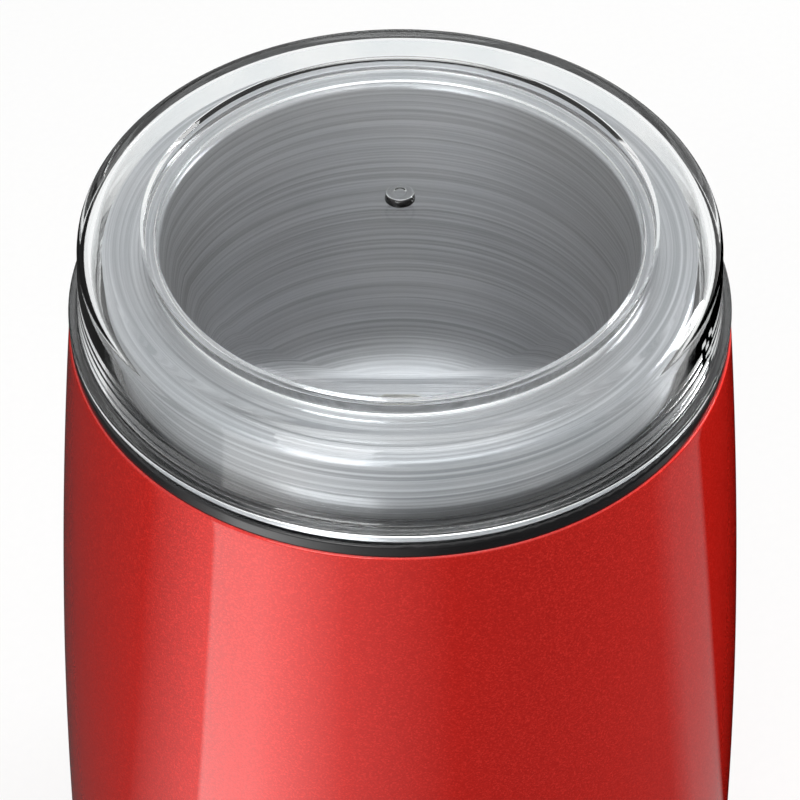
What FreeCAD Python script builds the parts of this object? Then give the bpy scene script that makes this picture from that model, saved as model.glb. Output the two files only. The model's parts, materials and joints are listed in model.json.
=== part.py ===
import FreeCAD, Part
import math
import os

# Electric spice grinder, in millimetres. +Z is up, the origin is at the bottom centre,
# on the surface that the rubber feet stand on, and the start button faces -Y.
# An azimuth is counted from the front (-Y) towards +X.

# Housing shell: a flared round moulding. Its flank is one arc from the top edge to the
# belly, which bulges out over its chord, and a second arc, tangent to the first, goes on
# from the belly in to the foot.
TOP_R = 42.75
BELLY_R = 53.6
BELLY_Z = 48.8
FLANK_BULGE = 1.05
FOOT_INSET = 3.2
FOOT_Z = 2.6
FOOT_ROUND = 1.6
SHELL_WALL = 2.0
FOOT_RING = 3.4
FOOT_RING_HEIGHT = 3.4

# Collar and bowl seat, one black moulding that closes the top of the shell
COLLAR_HEIGHT = 1.8
COLLAR_INSET = 0.25
COLLAR_ROUND = 0.35
SEAT_DEPTH = 6.0
SEAT_FLOOR = 2.8
SEAT_FIT = 0.15
SEAT_SKIRT = 3.1
SPIGOT_WALL = 1.5
SPIGOT_ROUND = 0.5
COLLAR_INNER_ROUND = 0.2
PILOT_SKIN = 0.4
NECK_STANDOFF = 0.2

# Grinding bowl, a steel pressing: wall, flat land and outer neck
BOWL_DEPTH = 50.2
BOWL_CORNER = 8.0
LAND_WIDTH = 7.1
NECK_HEIGHT = 11.0
NECK_MARGIN = 2.1
STEEL = 0.8
LAND_ROUND = 0.6
NECK_FIT = 0.1
BOWL_FIT = 0.2
BOWL_HOLE_R = 5.0

# Clear lid
FLANGE_INSET = 0.05
FLANGE_WIDTH = 1.25
FLANGE_HEIGHT = 1.3
FLANGE_GAP = 0.6
FLANGE_ROUND = 0.4
SKIRT_DRAFT = 1.1
SKIRT_WALL = 1.7
RIM_ROUND = 2.9
RIM_INNER_ROUND = 1.3
SKIRT_FOOT_ROUND = 0.5
LID_WALL = 2.45
LID_HEADROOM = 2.4
LID_SEAT_GAP = 0.3
WINDOW_MARGIN = 0.1
WINDOW_RISE = 3.0
WINDOW_WALL = 2.2
RIB_WIDTH = 1.6
RIB_TAPER = 0.1
RIB_ROUND = 0.35
RIM_GROOVE = 0.5
GROOVE_SLOPE = 0.3
GROOVE_ROUND = 0.25
NUB_R = 1.9
NUB_HEIGHT = 0.95
NUB_ROUND = 0.3
NUB_ROOT = 0.5

# Interlock: the lid's tab, the slot in the collar, the slider under it and its switch
LOCK_AZIMUTH = 70.0
TAB_WIDTH = 4.0
TAB_DEPTH = 1.4
TAB_ROOT = 0.2
TAB_REACH = 3.6
TAB_RIB = 1.2
TAB_RIB_HEIGHT = 8.0
TAB_RIB_ROOT = 0.4
TAB_OVERLAP = 0.5
SLOT_SIDE_GAP = 0.5
SLOT_FACE_GAP = 0.25
SLIDER_GAP = 0.3
SLIDER_TRAVEL = 3.0
SLIDER_STOP_GAP = 0.4
SLIDER_FOOT_LENGTH = 14.0
SLIDER_FOOT_DEPTH = 2.8
SLIDER_FOOT_HEIGHT = 2.0
LOCK_SPRING_R = 1.9
LOCK_SPRING_WALL = 0.6
LOCK_SPRING_HEIGHT = 4.1
LOCK_PIN_OFFSET = 4.0
LOCK_PIN_DEPTH = 3.7

# Microswitches: a case, a plunger and two screws each
SWITCH_DEPTH = 6.0
SWITCH_HEIGHT = 9.0
START_SWITCH_LENGTH = 20.0
LID_SWITCH_LENGTH = 16.0
PLUNGER_R = 1.2
PLUNGER_FIT = 0.3
SWITCH_SCREW_R = 1.0
SWITCH_SCREW_HEAD_R = 1.8
SWITCH_SCREW_HEAD = 1.0
SWITCH_SCREW_INSET = 2.4
SWITCH_SCREW_DROP = 2.0
SWITCH_SCREW_BITE = 1.2

# Start button and its bezel
BUTTON_Z = 88.0
BUTTON_R = 13.0
BUTTON_PROUD = 0.8
BUTTON_SKIN = 2.2
BUTTON_WALL = 1.6
BUTTON_TRAVEL = 2.8
BUTTON_GAP = 0.4
BUTTON_LIP = 1.6
BUTTON_LIP_DEPTH = 1.3
BUTTON_STOP_GAP = 0.3
LIP_CLEARANCE = 0.6
STEM_SETBACK = 0.2
SWITCH_FLOOR = 0.6
BUTTON_STEM_R = 3.0
BUTTON_ROUND = 0.6
BEZEL_WALL = 1.5
BEZEL_FLANGE = 1.5
BEZEL_PROUD = 0.6
BEZEL_FIT = 0.1
BEZEL_REACH = 1.05

# Motor carrier: a sleeve round the bowl, screwed up to the seat
CARRIER_GAP = 1.1
CARRIER_WALL = 2.0
CARRIER_FLOOR = 2.5
CARRIER_CLEARANCE = 3.5
CARRIER_HOLE_R = 12.0
EAR_AZIMUTHS = (10.0, 130.0, 250.0)
EAR_WIDTH = 7.0
EAR_HEIGHT = 5.0
EAR_REACH = 6.3
EAR_SCREW_HEAD_R = 2.6
TONGUE_WIDTH = 24.0
TONGUE_DEPTH = 1.5
PAD_WIDTH = 18.0
PAD_DEPTH = 1.0
PAD_MARGIN = 2.0

# Motor: stator stack, two end brackets shaped as bells, bearings and shaft
STACK_HEIGHT = 28.0
STATOR_R = 30.0
STATOR_YOKE = 7.0
POLE_SHOE = 3.0
POLE_WIDTH = 16.0
POLE_ANGLE = 110.0
BELL_WALL = 1.8
BELL_PLATE = 3.0
UPPER_BELL = 14.0
LOWER_BELL = 21.0
BELL_WINDOW = 15.0
UPPER_WINDOWS = 4
LOWER_WINDOWS = 2
WINDOW_SILL = 3.0
UPPER_WINDOW_HEAD = 2.0
LOWER_WINDOW_HEAD = 4.0
PLATE_VENT_R = 2.5
PLATE_VENT_CIRCLE_R = 17.0
PLATE_VENT_AZIMUTHS = (0.0, 120.0, 240.0)
BEARING_R = 8.0
BEARING_HEIGHT = 7.0
BEARING_FIT = 0.05
BOSS_WALL = 2.5
BOSS_DEPTH = 5.0
BOSS_INNER = 3.0
BEARING_SINK = 1.0
SHAFT_R = 3.0
SHAFT_FIT = 0.05
SHAFT_BELOW_FAN = 1.0
BOLT_R = 1.5
BOLT_INSET = 3.4
BOLT_AZIMUTHS = (45.0, 225.0)
BOLT_HEAD_R = 2.8
BOLT_HEAD = 2.4
BOLT_END = 0.3
BOLT_NUT_ACROSS = 5.2
COIL_WALL = 3.7
COIL_DEPTH = 3.9
COIL_OVERHANG = 6.0
COIL_GAP = 0.3

# Rotor
ARMATURE_GAP = 0.5
ARMATURE_SLOTS = 12
SLOT_DEPTH = 3.5
SLOT_R = 1.9
SLOT_MOUTH = 1.4
WINDING_OVERHANG = 6.2
WINDING_INSET = 1.6
WINDING_CORE_R = 4.5
WINDING_ROUND = 2.4
WIRE_SLACK = 0.2
COMMUTATOR_R = 10.0
COMMUTATOR_HEIGHT = 12.0
COMMUTATOR_BARS = 12
COMMUTATOR_GAP = 0.6
COMMUTATOR_GAP_DEPTH = 1.2
COMMUTATOR_OFFSET = 0.6
FAN_R = 24.0
FAN_HUB_R = 6.0
FAN_HEIGHT = 6.0
FAN_PLATE = 1.0
FAN_BLADES = 9
FAN_BLADE = 1.2
FAN_VANE_INSET = 0.5
FAN_GAP = 0.7
BASE_TO_FAN = 18.3

# Brushes
BRUSH_WIDTH = 6.0
BRUSH_HEIGHT = 5.0
BRUSH_LENGTH = 7.0
BRUSH_GAP = 0.3
HOLDER_WALL = 0.9
HOLDER_FIT = 0.1
HOLDER_STANDOFF = 2.0
HOLDER_PROUD = 1.0
HOLDER_CAP = 1.5
HOLDER_WINDOW_GAP = 0.2
BRUSH_SPRING_R = 2.0
BRUSH_SPRING_WALL = 0.7
BRUSH_AZIMUTHS = (90.0, 270.0)

# Blade and what holds it
HUB_R = 8.0
HUB_HEIGHT = 4.0
HUB_GAP = 1.2
HUB_TAPER = 1.0
HUB_SPIGOT_R = 4.0
HUB_SPIGOT_SHORT = 0.2
HUB_SPIGOT_FIT = 0.05
BLADE_TIP_GAP = 3.8
BLADE_WIDTH = 13.0
BLADE_TIP_WIDTH = 8.5
BLADE_THICKNESS = 1.4
BLADE_FLAT = 28.0
BLADE_LIFT = 3.2
BLADE_BEND = 3.0
WASHER_R = 5.5
WASHER_THICKNESS = 0.8
NUT_ACROSS_FLATS = 8.0
NUT_HEIGHT = 3.4
NUT_DOME = 2.0
NUT_DOME_SINK = 0.2
THREAD_REACH = 3.0

# Rubber pieces
SEAL_LIP_R = 6.5
SEAL_FLANGE_R = 7.2
SEAL_LIP = 0.8
SEAL_FLANGE = 1.3
SEAL_GAP = 0.3
SEAL_FIT = 0.1
SEAL_ROUND = 0.3
DAMPER_R = 4.5
DAMPER_HEIGHT = 3.0
MOTOR_SCREW_END = 0.5
DAMPER_CIRCLE_R = 22.0
DAMPER_AZIMUTHS = (60.0, 180.0, 300.0)
LOWER_DAMPER_HEIGHT = 4.0
LOWER_DAMPER_PIN_R = 1.5
LOWER_DAMPER_PIN_REACH = 1.0
PIN_FIT = 0.1
LOWER_DAMPER_AZIMUTHS = (30.0, 150.0, 270.0)
LOWER_DAMPER_OFFSET = 3.0
LOWER_EAR_WIDTH = 9.0
FOOT_PAD_R = 6.0
FOOT_PAD_HEIGHT = 3.4
FOOT_PAD_ROUND = 0.7
FOOT_STEM_R = 2.5
FOOT_BARB_R = 3.2
FOOT_BARB_EDGE = 0.6
FOOT_BARB_HEIGHT = 2.2
FOOT_PAD_TAPER = 0.4
FOOT_AZIMUTHS = (50.0, 130.0, 230.0, 310.0)
FOOT_PAD_INSET = 9.7

# Base cover, its posts, screws and vents
BASE_THICKNESS = 2.6
BASE_FIT = 0.3
BASE_ROUND = 0.5
POST_R = 3.5
SHELL_POST_R = 4.0
SHELL_POST_HEIGHT = 20.0
SHELL_POST_RIB = 3.0
BASE_SCREW_INSET = 4.7
BASE_SCREW_AZIMUTHS = (0.0, 90.0, 210.0)
BASE_SCREW_LENGTH = 13.0
BASE_SCREW_HEAD = 1.4
BASE_SCREW_SEAT = 1.0
PILOT_SPARE = 2.6
VENT_COUNT = 24
VENT_WIDTH = 2.2
VENT_INNER_R = 12.0
VENT_OUTER_R = 22.0

# Screws that repeat
SCREW_R = 1.5
SCREW_HEAD_R = 3.0
SCREW_HEAD = 2.0
SCREW_SLACK = 0.2
SCREW_END = 0.4
RECESS_GAP = 0.3
THREAD_FIT = 0.05

# Cord inlet at the back, with its gland, clamp and terminals
CORD_Z = 16.0
GLAND_BORE_R = 3.2
GLAND_R = 4.9
GLAND_FIT = 0.1
GLAND_FLANGE = 2.3
GLAND_PROUD = 1.2
GLAND_INNER = 4.2
GLAND_ROUND = 0.6
CLAMP_SETBACK = 5.4
CLAMP_DEPTH = 5.0
CLAMP_POST_R = 2.6
CLAMP_POST_X = 8.5
CLAMP_GAP = 0.4
SADDLE_MARGIN = 1.0
CLAMP_BAR = 2.4
CLAMP_SCREW_LENGTH = 5.0
TERMINAL_WIDTH = 20.0
TERMINAL_DEPTH = 9.0
TERMINAL_HEIGHT = 6.4
TERMINAL_SETBACK = 10.5
TERMINAL_SCREW_R = 1.8
TERMINAL_SCREW_DEPTH = 3.0
TERMINAL_SCREW_SINK = 0.4
TERMINAL_SLOT = 0.5
TERMINAL_WIRE_STEP = 0.4
TERMINAL_WIRE_Z = 2.2
CAPACITOR_WIDTH = 16.0
CAPACITOR_DEPTH = 8.0
CAPACITOR_HEIGHT = 16.0
CAPACITOR_AZIMUTH = 215.0
CAPACITOR_GAP = 0.3
CAPACITOR_ROUND = 1.0

# How far a cutter reaches past what it cuts
PAST = 1.0

# Small rounding of turned edges
EDGE_ROUND = 0.4

# Heights worked out from the base up: the housing is as high as what stands in it
base_z = FOOT_PAD_HEIGHT
base_top_z = base_z + BASE_THICKNESS
fan_z = base_top_z + BASE_TO_FAN
fan_top_z = fan_z + FAN_HEIGHT
shaft_z = fan_z - SHAFT_BELOW_FAN
lower_under_z = fan_top_z + FAN_GAP + BOSS_DEPTH
lower_plate_z = lower_under_z + BELL_PLATE
stack_z = lower_plate_z + LOWER_BELL
stack_top_z = stack_z + STACK_HEIGHT
upper_plate_z = stack_top_z + UPPER_BELL + BELL_PLATE
carrier_under_z = upper_plate_z + DAMPER_HEIGHT
carrier_floor_z = carrier_under_z + CARRIER_FLOOR
bowl_under_z = carrier_floor_z + CARRIER_CLEARANCE
bowl_floor_z = bowl_under_z + STEEL
land_z = bowl_floor_z + BOWL_DEPTH
top_z = land_z - NECK_HEIGHT
collar_top_z = top_z + COLLAR_HEIGHT
seat_under_z = top_z - SEAT_DEPTH
seat_floor_z = seat_under_z + SEAT_FLOOR
commutator_top_z = stack_z - WINDING_OVERHANG - COMMUTATOR_OFFSET
brush_z = commutator_top_z - COMMUTATOR_HEIGHT / 2
hub_z = bowl_floor_z + HUB_GAP
blade_z = hub_z + HUB_HEIGHT
nut_z = blade_z + BLADE_THICKNESS + WASHER_THICKNESS
shaft_top_z = nut_z + THREAD_REACH

# Radii worked out from the housing's top edge inwards: collar, lid, bowl, carrier
collar_r = TOP_R - COLLAR_INSET
seat_skirt_r = TOP_R - SHELL_WALL - SEAT_FIT
flange_r = collar_r - FLANGE_INSET
skirt_foot_r = flange_r - FLANGE_WIDTH
skirt_top_r = skirt_foot_r - SKIRT_DRAFT
neck_r = skirt_foot_r - SKIRT_WALL - NECK_MARGIN
neck_inner_r = neck_r - STEEL
bowl_r = neck_r - LAND_WIDTH
bowl_outer_r = bowl_r + STEEL
window_r = bowl_r + WINDOW_MARGIN
carrier_inner_r = bowl_outer_r + CARRIER_GAP
carrier_outer_r = carrier_inner_r + CARRIER_WALL
blade_span = 2 * (bowl_r - BLADE_TIP_GAP)

# Radii worked out from the foot inwards, and from the motor's own
foot_r = BELLY_R - FOOT_INSET
foot_inner_r = foot_r - FOOT_RING
cover_r = foot_inner_r - BASE_FIT
base_screw_circle_r = cover_r - BASE_SCREW_INSET
base_screw_seat_z = base_top_z - BASE_SCREW_SEAT
base_screw_tip_z = base_screw_seat_z + BASE_SCREW_LENGTH
foot_circle_r = cover_r - FOOT_PAD_INSET
bell_inner_r = STATOR_R - BELL_WALL
boss_r = BEARING_R + BOSS_WALL
bolt_circle_r = STATOR_R - BOLT_INSET
lower_damper_circle_r = STATOR_R + LOWER_DAMPER_OFFSET
stator_bore_r = STATOR_R - STATOR_YOKE - 2 * COIL_GAP - COIL_DEPTH - POLE_SHOE
armature_r = stator_bore_r - ARMATURE_GAP
slot_circle_r = armature_r - SLOT_DEPTH
winding_r = armature_r - WINDING_INSET
holder_inner_r = COMMUTATOR_R + HOLDER_STANDOFF
holder_outer_r = STATOR_R + HOLDER_PROUD

# Places on the interlock's radius, seen from the axis
tab_outer_r = skirt_foot_r - SKIRT_WALL + TAB_ROOT
tab_inner_r = tab_outer_r - TAB_DEPTH
tab_z = collar_top_z - TAB_REACH
slider_top_z = tab_z - SLIDER_GAP
slider_mid_r = (tab_inner_r + tab_outer_r) / 2
slider_foot_z = seat_under_z - SLIDER_TRAVEL - SLIDER_STOP_GAP - SLIDER_FOOT_HEIGHT
lid_switch_top_z = slider_foot_z - LOCK_SPRING_HEIGHT
lid_switch_back = carrier_outer_r + PAD_DEPTH


def vec(x, y, z):
    return FreeCAD.Vector(x, y, z)


ORIGIN = vec(0, 0, 0)
UP = vec(0, 0, 1)
ALONG_X = vec(1, 0, 0)
ALONG_Y = vec(0, 1, 0)


def outline(*corners):
    """Face in the XZ plane from (r, z) corners, closed.

    A third value rounds the corner by that radius, or, when it is a pair,
    is the middle of an arc that leads to the corner.
    """
    count = len(corners)
    flat = [(c[0], c[1]) for c in corners]
    enter, leave, rounds = [], [], []
    for i, corner in enumerate(corners):
        here = vec(flat[i][0], 0, flat[i][1])
        size = corner[2] if len(corner) > 2 and not isinstance(corner[2], tuple) else 0.0
        if size <= 0:
            enter.append(here)
            leave.append(here)
            rounds.append(None)
            continue
        before = vec(flat[i - 1][0], 0, flat[i - 1][1]) - here
        after = vec(flat[(i + 1) % count][0], 0, flat[(i + 1) % count][1]) - here
        half = before.getAngle(after) / 2
        reach = size / math.tan(half)
        before.normalize()
        after.normalize()
        middle = before + after
        middle.normalize()
        enter.append(here + before * reach)
        leave.append(here + after * reach)
        rounds.append(here + middle * (size / math.sin(half) - size))
    edges = []
    for i, corner in enumerate(corners):
        start = leave[i - 1]
        if len(corner) > 2 and isinstance(corner[2], tuple):
            middle = vec(corner[2][0], 0, corner[2][1])
            edges.append(Part.Arc(start, middle, enter[i]).toShape())
        elif start.distanceToPoint(enter[i]) > 1e-6:
            edges.append(Part.LineSegment(start, enter[i]).toShape())
        if rounds[i]:
            edges.append(Part.Arc(enter[i], rounds[i], leave[i]).toShape())
    return Part.Face(Part.Wire(edges))


def turned(*corners):
    """Solid of revolution about Z from an outline of (r, z) corners."""
    return outline(*corners).revolve(ORIGIN, UP, 360)


def disc(r, z0, z1, x=0.0, y=0.0):
    """Upright cylinder."""
    return Part.makeCylinder(r, z1 - z0, vec(x, y, z0))


def tube(r_in, r_out, z0, z1, x=0.0, y=0.0):
    """Upright cylinder with a bore."""
    return disc(r_out, z0, z1, x, y).cut(disc(r_in, z0 - 1, z1 + 1, x, y))


def bar(r, x, z, y0, y1):
    """Cylinder along Y from y0 to y1."""
    return Part.makeCylinder(r, y1 - y0, vec(x, y0, z), ALONG_Y)


def block(x0, x1, y0, y1, z0, z1):
    """Box between two corners."""
    return Part.makeBox(x1 - x0, y1 - y0, z1 - z0, vec(x0, y0, z0))


def centred(width, r0, r1, z0, z1):
    """Box at the front, width wide across X, from radius r0 out to r1."""
    return block(-width / 2, width / 2, -r1, -r0, z0, z1)


def at_azimuth(shape, azimuth):
    """Copy of a shape made at the front, turned to an azimuth."""
    copy = shape.copy()
    copy.rotate(ORIGIN, UP, azimuth)
    return copy


def around(shape, azimuths):
    """Copies of a shape made at the front, one at each azimuth."""
    return [at_azimuth(shape, a) for a in azimuths]


def evenly(count):
    """Azimuths of a full circle of equal steps."""
    return [360.0 * i / count for i in range(count)]


def hexagon(across, z0, z1):
    """Upright hexagonal prism on the axis."""
    r = across / math.sqrt(3)
    corners = [vec(r * math.cos(math.radians(60 * i)), r * math.sin(math.radians(60 * i)), z0)
               for i in range(7)]
    return Part.Face(Part.makePolygon(corners)).extrude(vec(0, 0, z1 - z0))


def joined(first, *others):
    """One solid from several that overlap."""
    return first.multiFuse(list(others)).removeSplitter()


def circle_centre(a, b, c):
    """Centre of the circle through three (r, z) points."""
    d = 2 * (a[0] * (b[1] - c[1]) + b[0] * (c[1] - a[1]) + c[0] * (a[1] - b[1]))
    sa, sb, sc = (p[0] ** 2 + p[1] ** 2 for p in (a, b, c))
    r = (sa * (b[1] - c[1]) + sb * (c[1] - a[1]) + sc * (a[1] - b[1])) / d
    z = (sa * (c[0] - b[0]) + sb * (a[0] - c[0]) + sc * (b[0] - a[0])) / d
    return r, z


def tangent_arc_middle(start, direction, end):
    """Middle point of the arc that leaves start along direction and reaches end."""
    chord = (end[0] - start[0], end[1] - start[1])
    length = math.hypot(*chord)
    turn = math.atan2(direction[1], direction[0]) - math.atan2(chord[1], chord[0])
    turn = math.atan2(math.sin(turn), math.cos(turn))
    bulge = length / 2 * math.tan(turn / 2)
    r = (start[0] + end[0]) / 2 - chord[1] / length * bulge
    z = (start[1] + end[1]) / 2 + chord[0] / length * bulge
    return r, z


def cap_height(r, rim_r, rise):
    """Height of a spherical cap over the plane of its rim, at a radius."""
    ball_r = (rim_r ** 2 + rise ** 2) / (2 * rise)
    return math.sqrt(ball_r ** 2 - r ** 2) - (ball_r - rise)


def flank_corners(offset=0.0):
    """Top, waist and belly of the flank as (r, z); the waist is the middle of its arc."""
    run, drop = BELLY_R - TOP_R, BELLY_Z - top_z
    chord = math.hypot(run, drop)
    waist_r = (TOP_R + BELLY_R) / 2 - drop / chord * FLANK_BULGE
    waist_z = (top_z + BELLY_Z) / 2 + run / chord * FLANK_BULGE
    return (TOP_R + offset, top_z), (waist_r + offset, waist_z), (BELLY_R + offset, BELLY_Z)


def body_solid(offset=0.0, foot_round=0.0):
    """The space inside the housing's outline, made larger or smaller by an offset."""
    top, waist, belly = flank_corners(offset)
    foot = (foot_r + offset, FOOT_Z)
    centre = circle_centre(top, waist, belly)
    downwards = (belly[1] - centre[1], centre[0] - belly[0])
    foot_middle = tangent_arc_middle(belly, downwards, foot)
    solid = turned((0, FOOT_Z), (0, top_z), top, belly + (waist,), foot + (foot_middle,))
    if foot_round:
        rim = [e for e in solid.Edges if abs(e.BoundBox.ZMax - FOOT_Z) < 1e-6
               and e.BoundBox.XLength > foot_r]
        solid = solid.makeFillet(foot_round, rim)
    return solid


def flank_radius(z):
    """Radius of the housing's outside at a height between the belly and the top."""
    centre = circle_centre(*flank_corners())
    radius = math.hypot(TOP_R - centre[0], top_z - centre[1])
    return centre[0] + math.sqrt(radius ** 2 - (z - centre[1]) ** 2)


def foot_radius(z):
    """Radius of the housing's outside at a height between the foot and the belly."""
    top, waist, belly = flank_corners()
    upper = circle_centre(top, waist, belly)
    downwards = (belly[1] - upper[1], upper[0] - belly[0])
    foot = (foot_r, FOOT_Z)
    centre = circle_centre(belly, tangent_arc_middle(belly, downwards, foot), foot)
    radius = math.hypot(foot_r - centre[0], FOOT_Z - centre[1])
    return centre[0] + math.sqrt(radius ** 2 - (z - centre[1]) ** 2)


# Places behind the button, from the housing's inner wall inwards to the switch
button_lip_r = BUTTON_R + BUTTON_LIP
button_hole_r = BUTTON_R + BUTTON_GAP + BEZEL_WALL + BEZEL_FIT
button_wall_y = math.sqrt((flank_radius(BUTTON_Z) - SHELL_WALL) ** 2 - button_lip_r ** 2)
bezel_end = button_wall_y - BEZEL_REACH
button_lip_front = bezel_end - BUTTON_STOP_GAP
button_lip_end = button_lip_front - BUTTON_LIP_DEPTH
button_stem_end = button_lip_end - STEM_SETBACK
start_switch_front = button_lip_end - BUTTON_TRAVEL - LIP_CLEARANCE
start_switch_back = start_switch_front - SWITCH_DEPTH

# Places along the cord's line, from the housing's outside inwards
gland_face_y = foot_radius(CORD_Z) + GLAND_PROUD
gland_inner_y = foot_radius(CORD_Z) - SHELL_WALL - GLAND_INNER
clamp_y = gland_inner_y - CLAMP_SETBACK
clamp_z = CORD_Z + GLAND_BORE_R + CLAMP_GAP
terminal_y = clamp_y - TERMINAL_SETBACK


def housing_shell():
    """Red outer moulding with its screw posts, button hole and cord hole."""
    cavity = body_solid(-SHELL_WALL)
    ring_top_z = FOOT_Z + FOOT_RING_HEIGHT
    cavity = cavity.cut(disc(2 * BELLY_R, FOOT_Z - PAST, ring_top_z))
    cavity = cavity.fuse(disc(foot_inner_r, FOOT_Z - PAST, ring_top_z + PAST))
    shell = body_solid(0.0, FOOT_ROUND).cut(cavity)
    post = disc(SHELL_POST_R, base_top_z, base_top_z + SHELL_POST_HEIGHT, 0, -base_screw_circle_r)
    rib = centred(SHELL_POST_RIB, base_screw_circle_r, 2 * BELLY_R,
                  base_top_z, base_top_z + SHELL_POST_HEIGHT)
    rib = rib.common(body_solid(-SHELL_WALL / 2))
    post = post.common(body_solid(-SHELL_WALL / 2))
    shell = joined(shell, *around(post.fuse(rib), BASE_SCREW_AZIMUTHS))
    pilot = disc(SCREW_R + THREAD_FIT, base_top_z - PAST, base_screw_tip_z + PILOT_SPARE,
                 0, -base_screw_circle_r)
    button_hole = bar(button_hole_r, 0, BUTTON_Z, -2 * BELLY_R, 0)
    cord_hole = bar(GLAND_R + GLAND_FIT, 0, CORD_Z, gland_inner_y, 2 * BELLY_R)
    for tool in around(pilot, BASE_SCREW_AZIMUTHS) + [button_hole, cord_hole]:
        shell = shell.cut(tool)
    return shell


def collar_seat():
    """Black collar, the spigot under the bowl's land, and the guide of the interlock."""
    spigot_outer_r = neck_inner_r - BOWL_FIT
    spigot_inner_r = bowl_outer_r + BOWL_FIT
    spigot_top_z = land_z - STEEL - NECK_FIT
    groove_r = neck_r + NECK_FIT
    seat = turned((spigot_inner_r, seat_under_z), (spigot_inner_r, spigot_top_z, SPIGOT_ROUND),
                  (spigot_outer_r, spigot_top_z, SPIGOT_ROUND), (spigot_outer_r, seat_floor_z),
                  (groove_r, seat_floor_z), (groove_r, collar_top_z, COLLAR_INNER_ROUND),
                  (collar_r, collar_top_z, COLLAR_ROUND), (collar_r, top_z),
                  (seat_skirt_r, top_z), (seat_skirt_r, seat_under_z))
    core = tube(spigot_inner_r + SPIGOT_WALL, spigot_outer_r - SPIGOT_WALL,
                seat_under_z - PAST, spigot_top_z - SPIGOT_WALL)
    slot = centred(TAB_WIDTH + 2 * SLOT_SIDE_GAP, tab_inner_r - SLOT_FACE_GAP,
                   tab_outer_r + SLOT_FACE_GAP, seat_under_z - PAST, collar_top_z + PAST)
    seat = seat.cut(core).cut(at_azimuth(slot, LOCK_AZIMUTH))
    pilot = disc(SCREW_R + THREAD_FIT, seat_under_z - PAST, seat_floor_z - PILOT_SKIN, 0, -ear_hole_r())
    for tool in around(pilot, EAR_AZIMUTHS):
        seat = seat.cut(tool)
    return seat


def ear_hole_r():
    """Radius of the circle of screws that join the carrier to the seat."""
    return carrier_outer_r + EAR_REACH - SCREW_HEAD_R


def grinding_bowl():
    """Steel pressing: floor, wall, land and neck in one thickness of sheet."""
    under_land_z = land_z - STEEL
    return turned((BOWL_HOLE_R, bowl_under_z), (BOWL_HOLE_R, bowl_floor_z),
                  (bowl_r, bowl_floor_z, BOWL_CORNER), (bowl_r, land_z, LAND_ROUND),
                  (neck_r, land_z, LAND_ROUND), (neck_r, seat_floor_z + NECK_STANDOFF),
                  (neck_inner_r, seat_floor_z + NECK_STANDOFF), (neck_inner_r, under_land_z),
                  (bowl_outer_r, under_land_z), (bowl_outer_r, bowl_under_z, BOWL_CORNER + STEEL))


def lid():
    """Clear lid with its flange, rim, groove, domed window, locating rib and interlock tab."""
    flange_z = collar_top_z + FLANGE_GAP
    flange_top_z = flange_z + FLANGE_HEIGHT
    under_z = land_z + LID_HEADROOM
    high_z = under_z + LID_WALL
    rib_z = land_z + LID_SEAT_GAP
    rib_r = window_r + RIB_WIDTH
    window_edge_z = high_z - RIM_GROOVE
    apex_z = window_edge_z + WINDOW_RISE
    half_r = window_r / 2
    half_rise = cap_height(half_r, window_r, WINDOW_RISE)
    shape = turned((0, apex_z - WINDOW_WALL), (0, apex_z),
                   (window_r, window_edge_z, (half_r, window_edge_z + half_rise)),
                   (rib_r - RIB_TAPER, window_edge_z), (rib_r + GROOVE_SLOPE, high_z, GROOVE_ROUND),
                   (skirt_top_r, high_z, RIM_ROUND), (skirt_foot_r, flange_top_z, SKIRT_FOOT_ROUND),
                   (flange_r, flange_top_z, FLANGE_ROUND), (flange_r, flange_z, FLANGE_ROUND),
                   (skirt_foot_r - SKIRT_WALL, flange_z),
                   (skirt_top_r - SKIRT_WALL, under_z, RIM_INNER_ROUND),
                   (rib_r, under_z, GROOVE_ROUND), (rib_r - RIB_TAPER, rib_z, RIB_ROUND),
                   (window_r + RIB_TAPER, rib_z, RIB_ROUND),
                   (window_r, window_edge_z - WINDOW_WALL),
                   (0, apex_z - WINDOW_WALL, (half_r, window_edge_z - WINDOW_WALL + half_rise)))
    nub = turned((0, apex_z - NUB_ROOT), (0, apex_z + NUB_HEIGHT),
                 (NUB_R, apex_z + NUB_HEIGHT, NUB_ROUND), (NUB_R, apex_z - NUB_ROOT))
    tab = centred(TAB_WIDTH, tab_inner_r, tab_outer_r, tab_z, flange_z + TAB_OVERLAP)
    stiffener = centred(TAB_RIB, tab_inner_r, tab_outer_r + TAB_RIB_ROOT,
                        flange_z, flange_z + TAB_RIB_HEIGHT)
    return joined(shape, nub, at_azimuth(tab, LOCK_AZIMUTH), at_azimuth(stiffener, LOCK_AZIMUTH))


def blade():
    """Flat bar of hardened steel, its ends bent up and tapered, with a hole for the hub's spigot."""
    tip = blade_span / 2
    flat = BLADE_FLAT / 2
    low, high = blade_z, blade_z + BLADE_THICKNESS
    side = outline((-tip, low + BLADE_LIFT), (-flat, low, BLADE_BEND), (flat, low, BLADE_BEND),
                   (tip, low + BLADE_LIFT), (tip, high + BLADE_LIFT), (flat, high, BLADE_BEND),
                   (-flat, high, BLADE_BEND), (-tip, high + BLADE_LIFT))
    strip = side.extrude(vec(0, BLADE_WIDTH, 0))
    strip.translate(vec(0, -BLADE_WIDTH / 2, 0))
    half, end = BLADE_WIDTH / 2, BLADE_TIP_WIDTH / 2
    plan = [(-tip, -end), (-flat, -half), (flat, -half), (tip, -end),
            (tip, end), (flat, half), (-flat, half), (-tip, end), (-tip, -end)]
    face = Part.Face(Part.makePolygon([vec(x, y, low - PAST) for x, y in plan]))
    shape = strip.common(face.extrude(vec(0, 0, BLADE_LIFT + BLADE_THICKNESS + 2 * PAST)))
    return shape.cut(disc(HUB_SPIGOT_R + HUB_SPIGOT_FIT, low - PAST, high + PAST))


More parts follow.
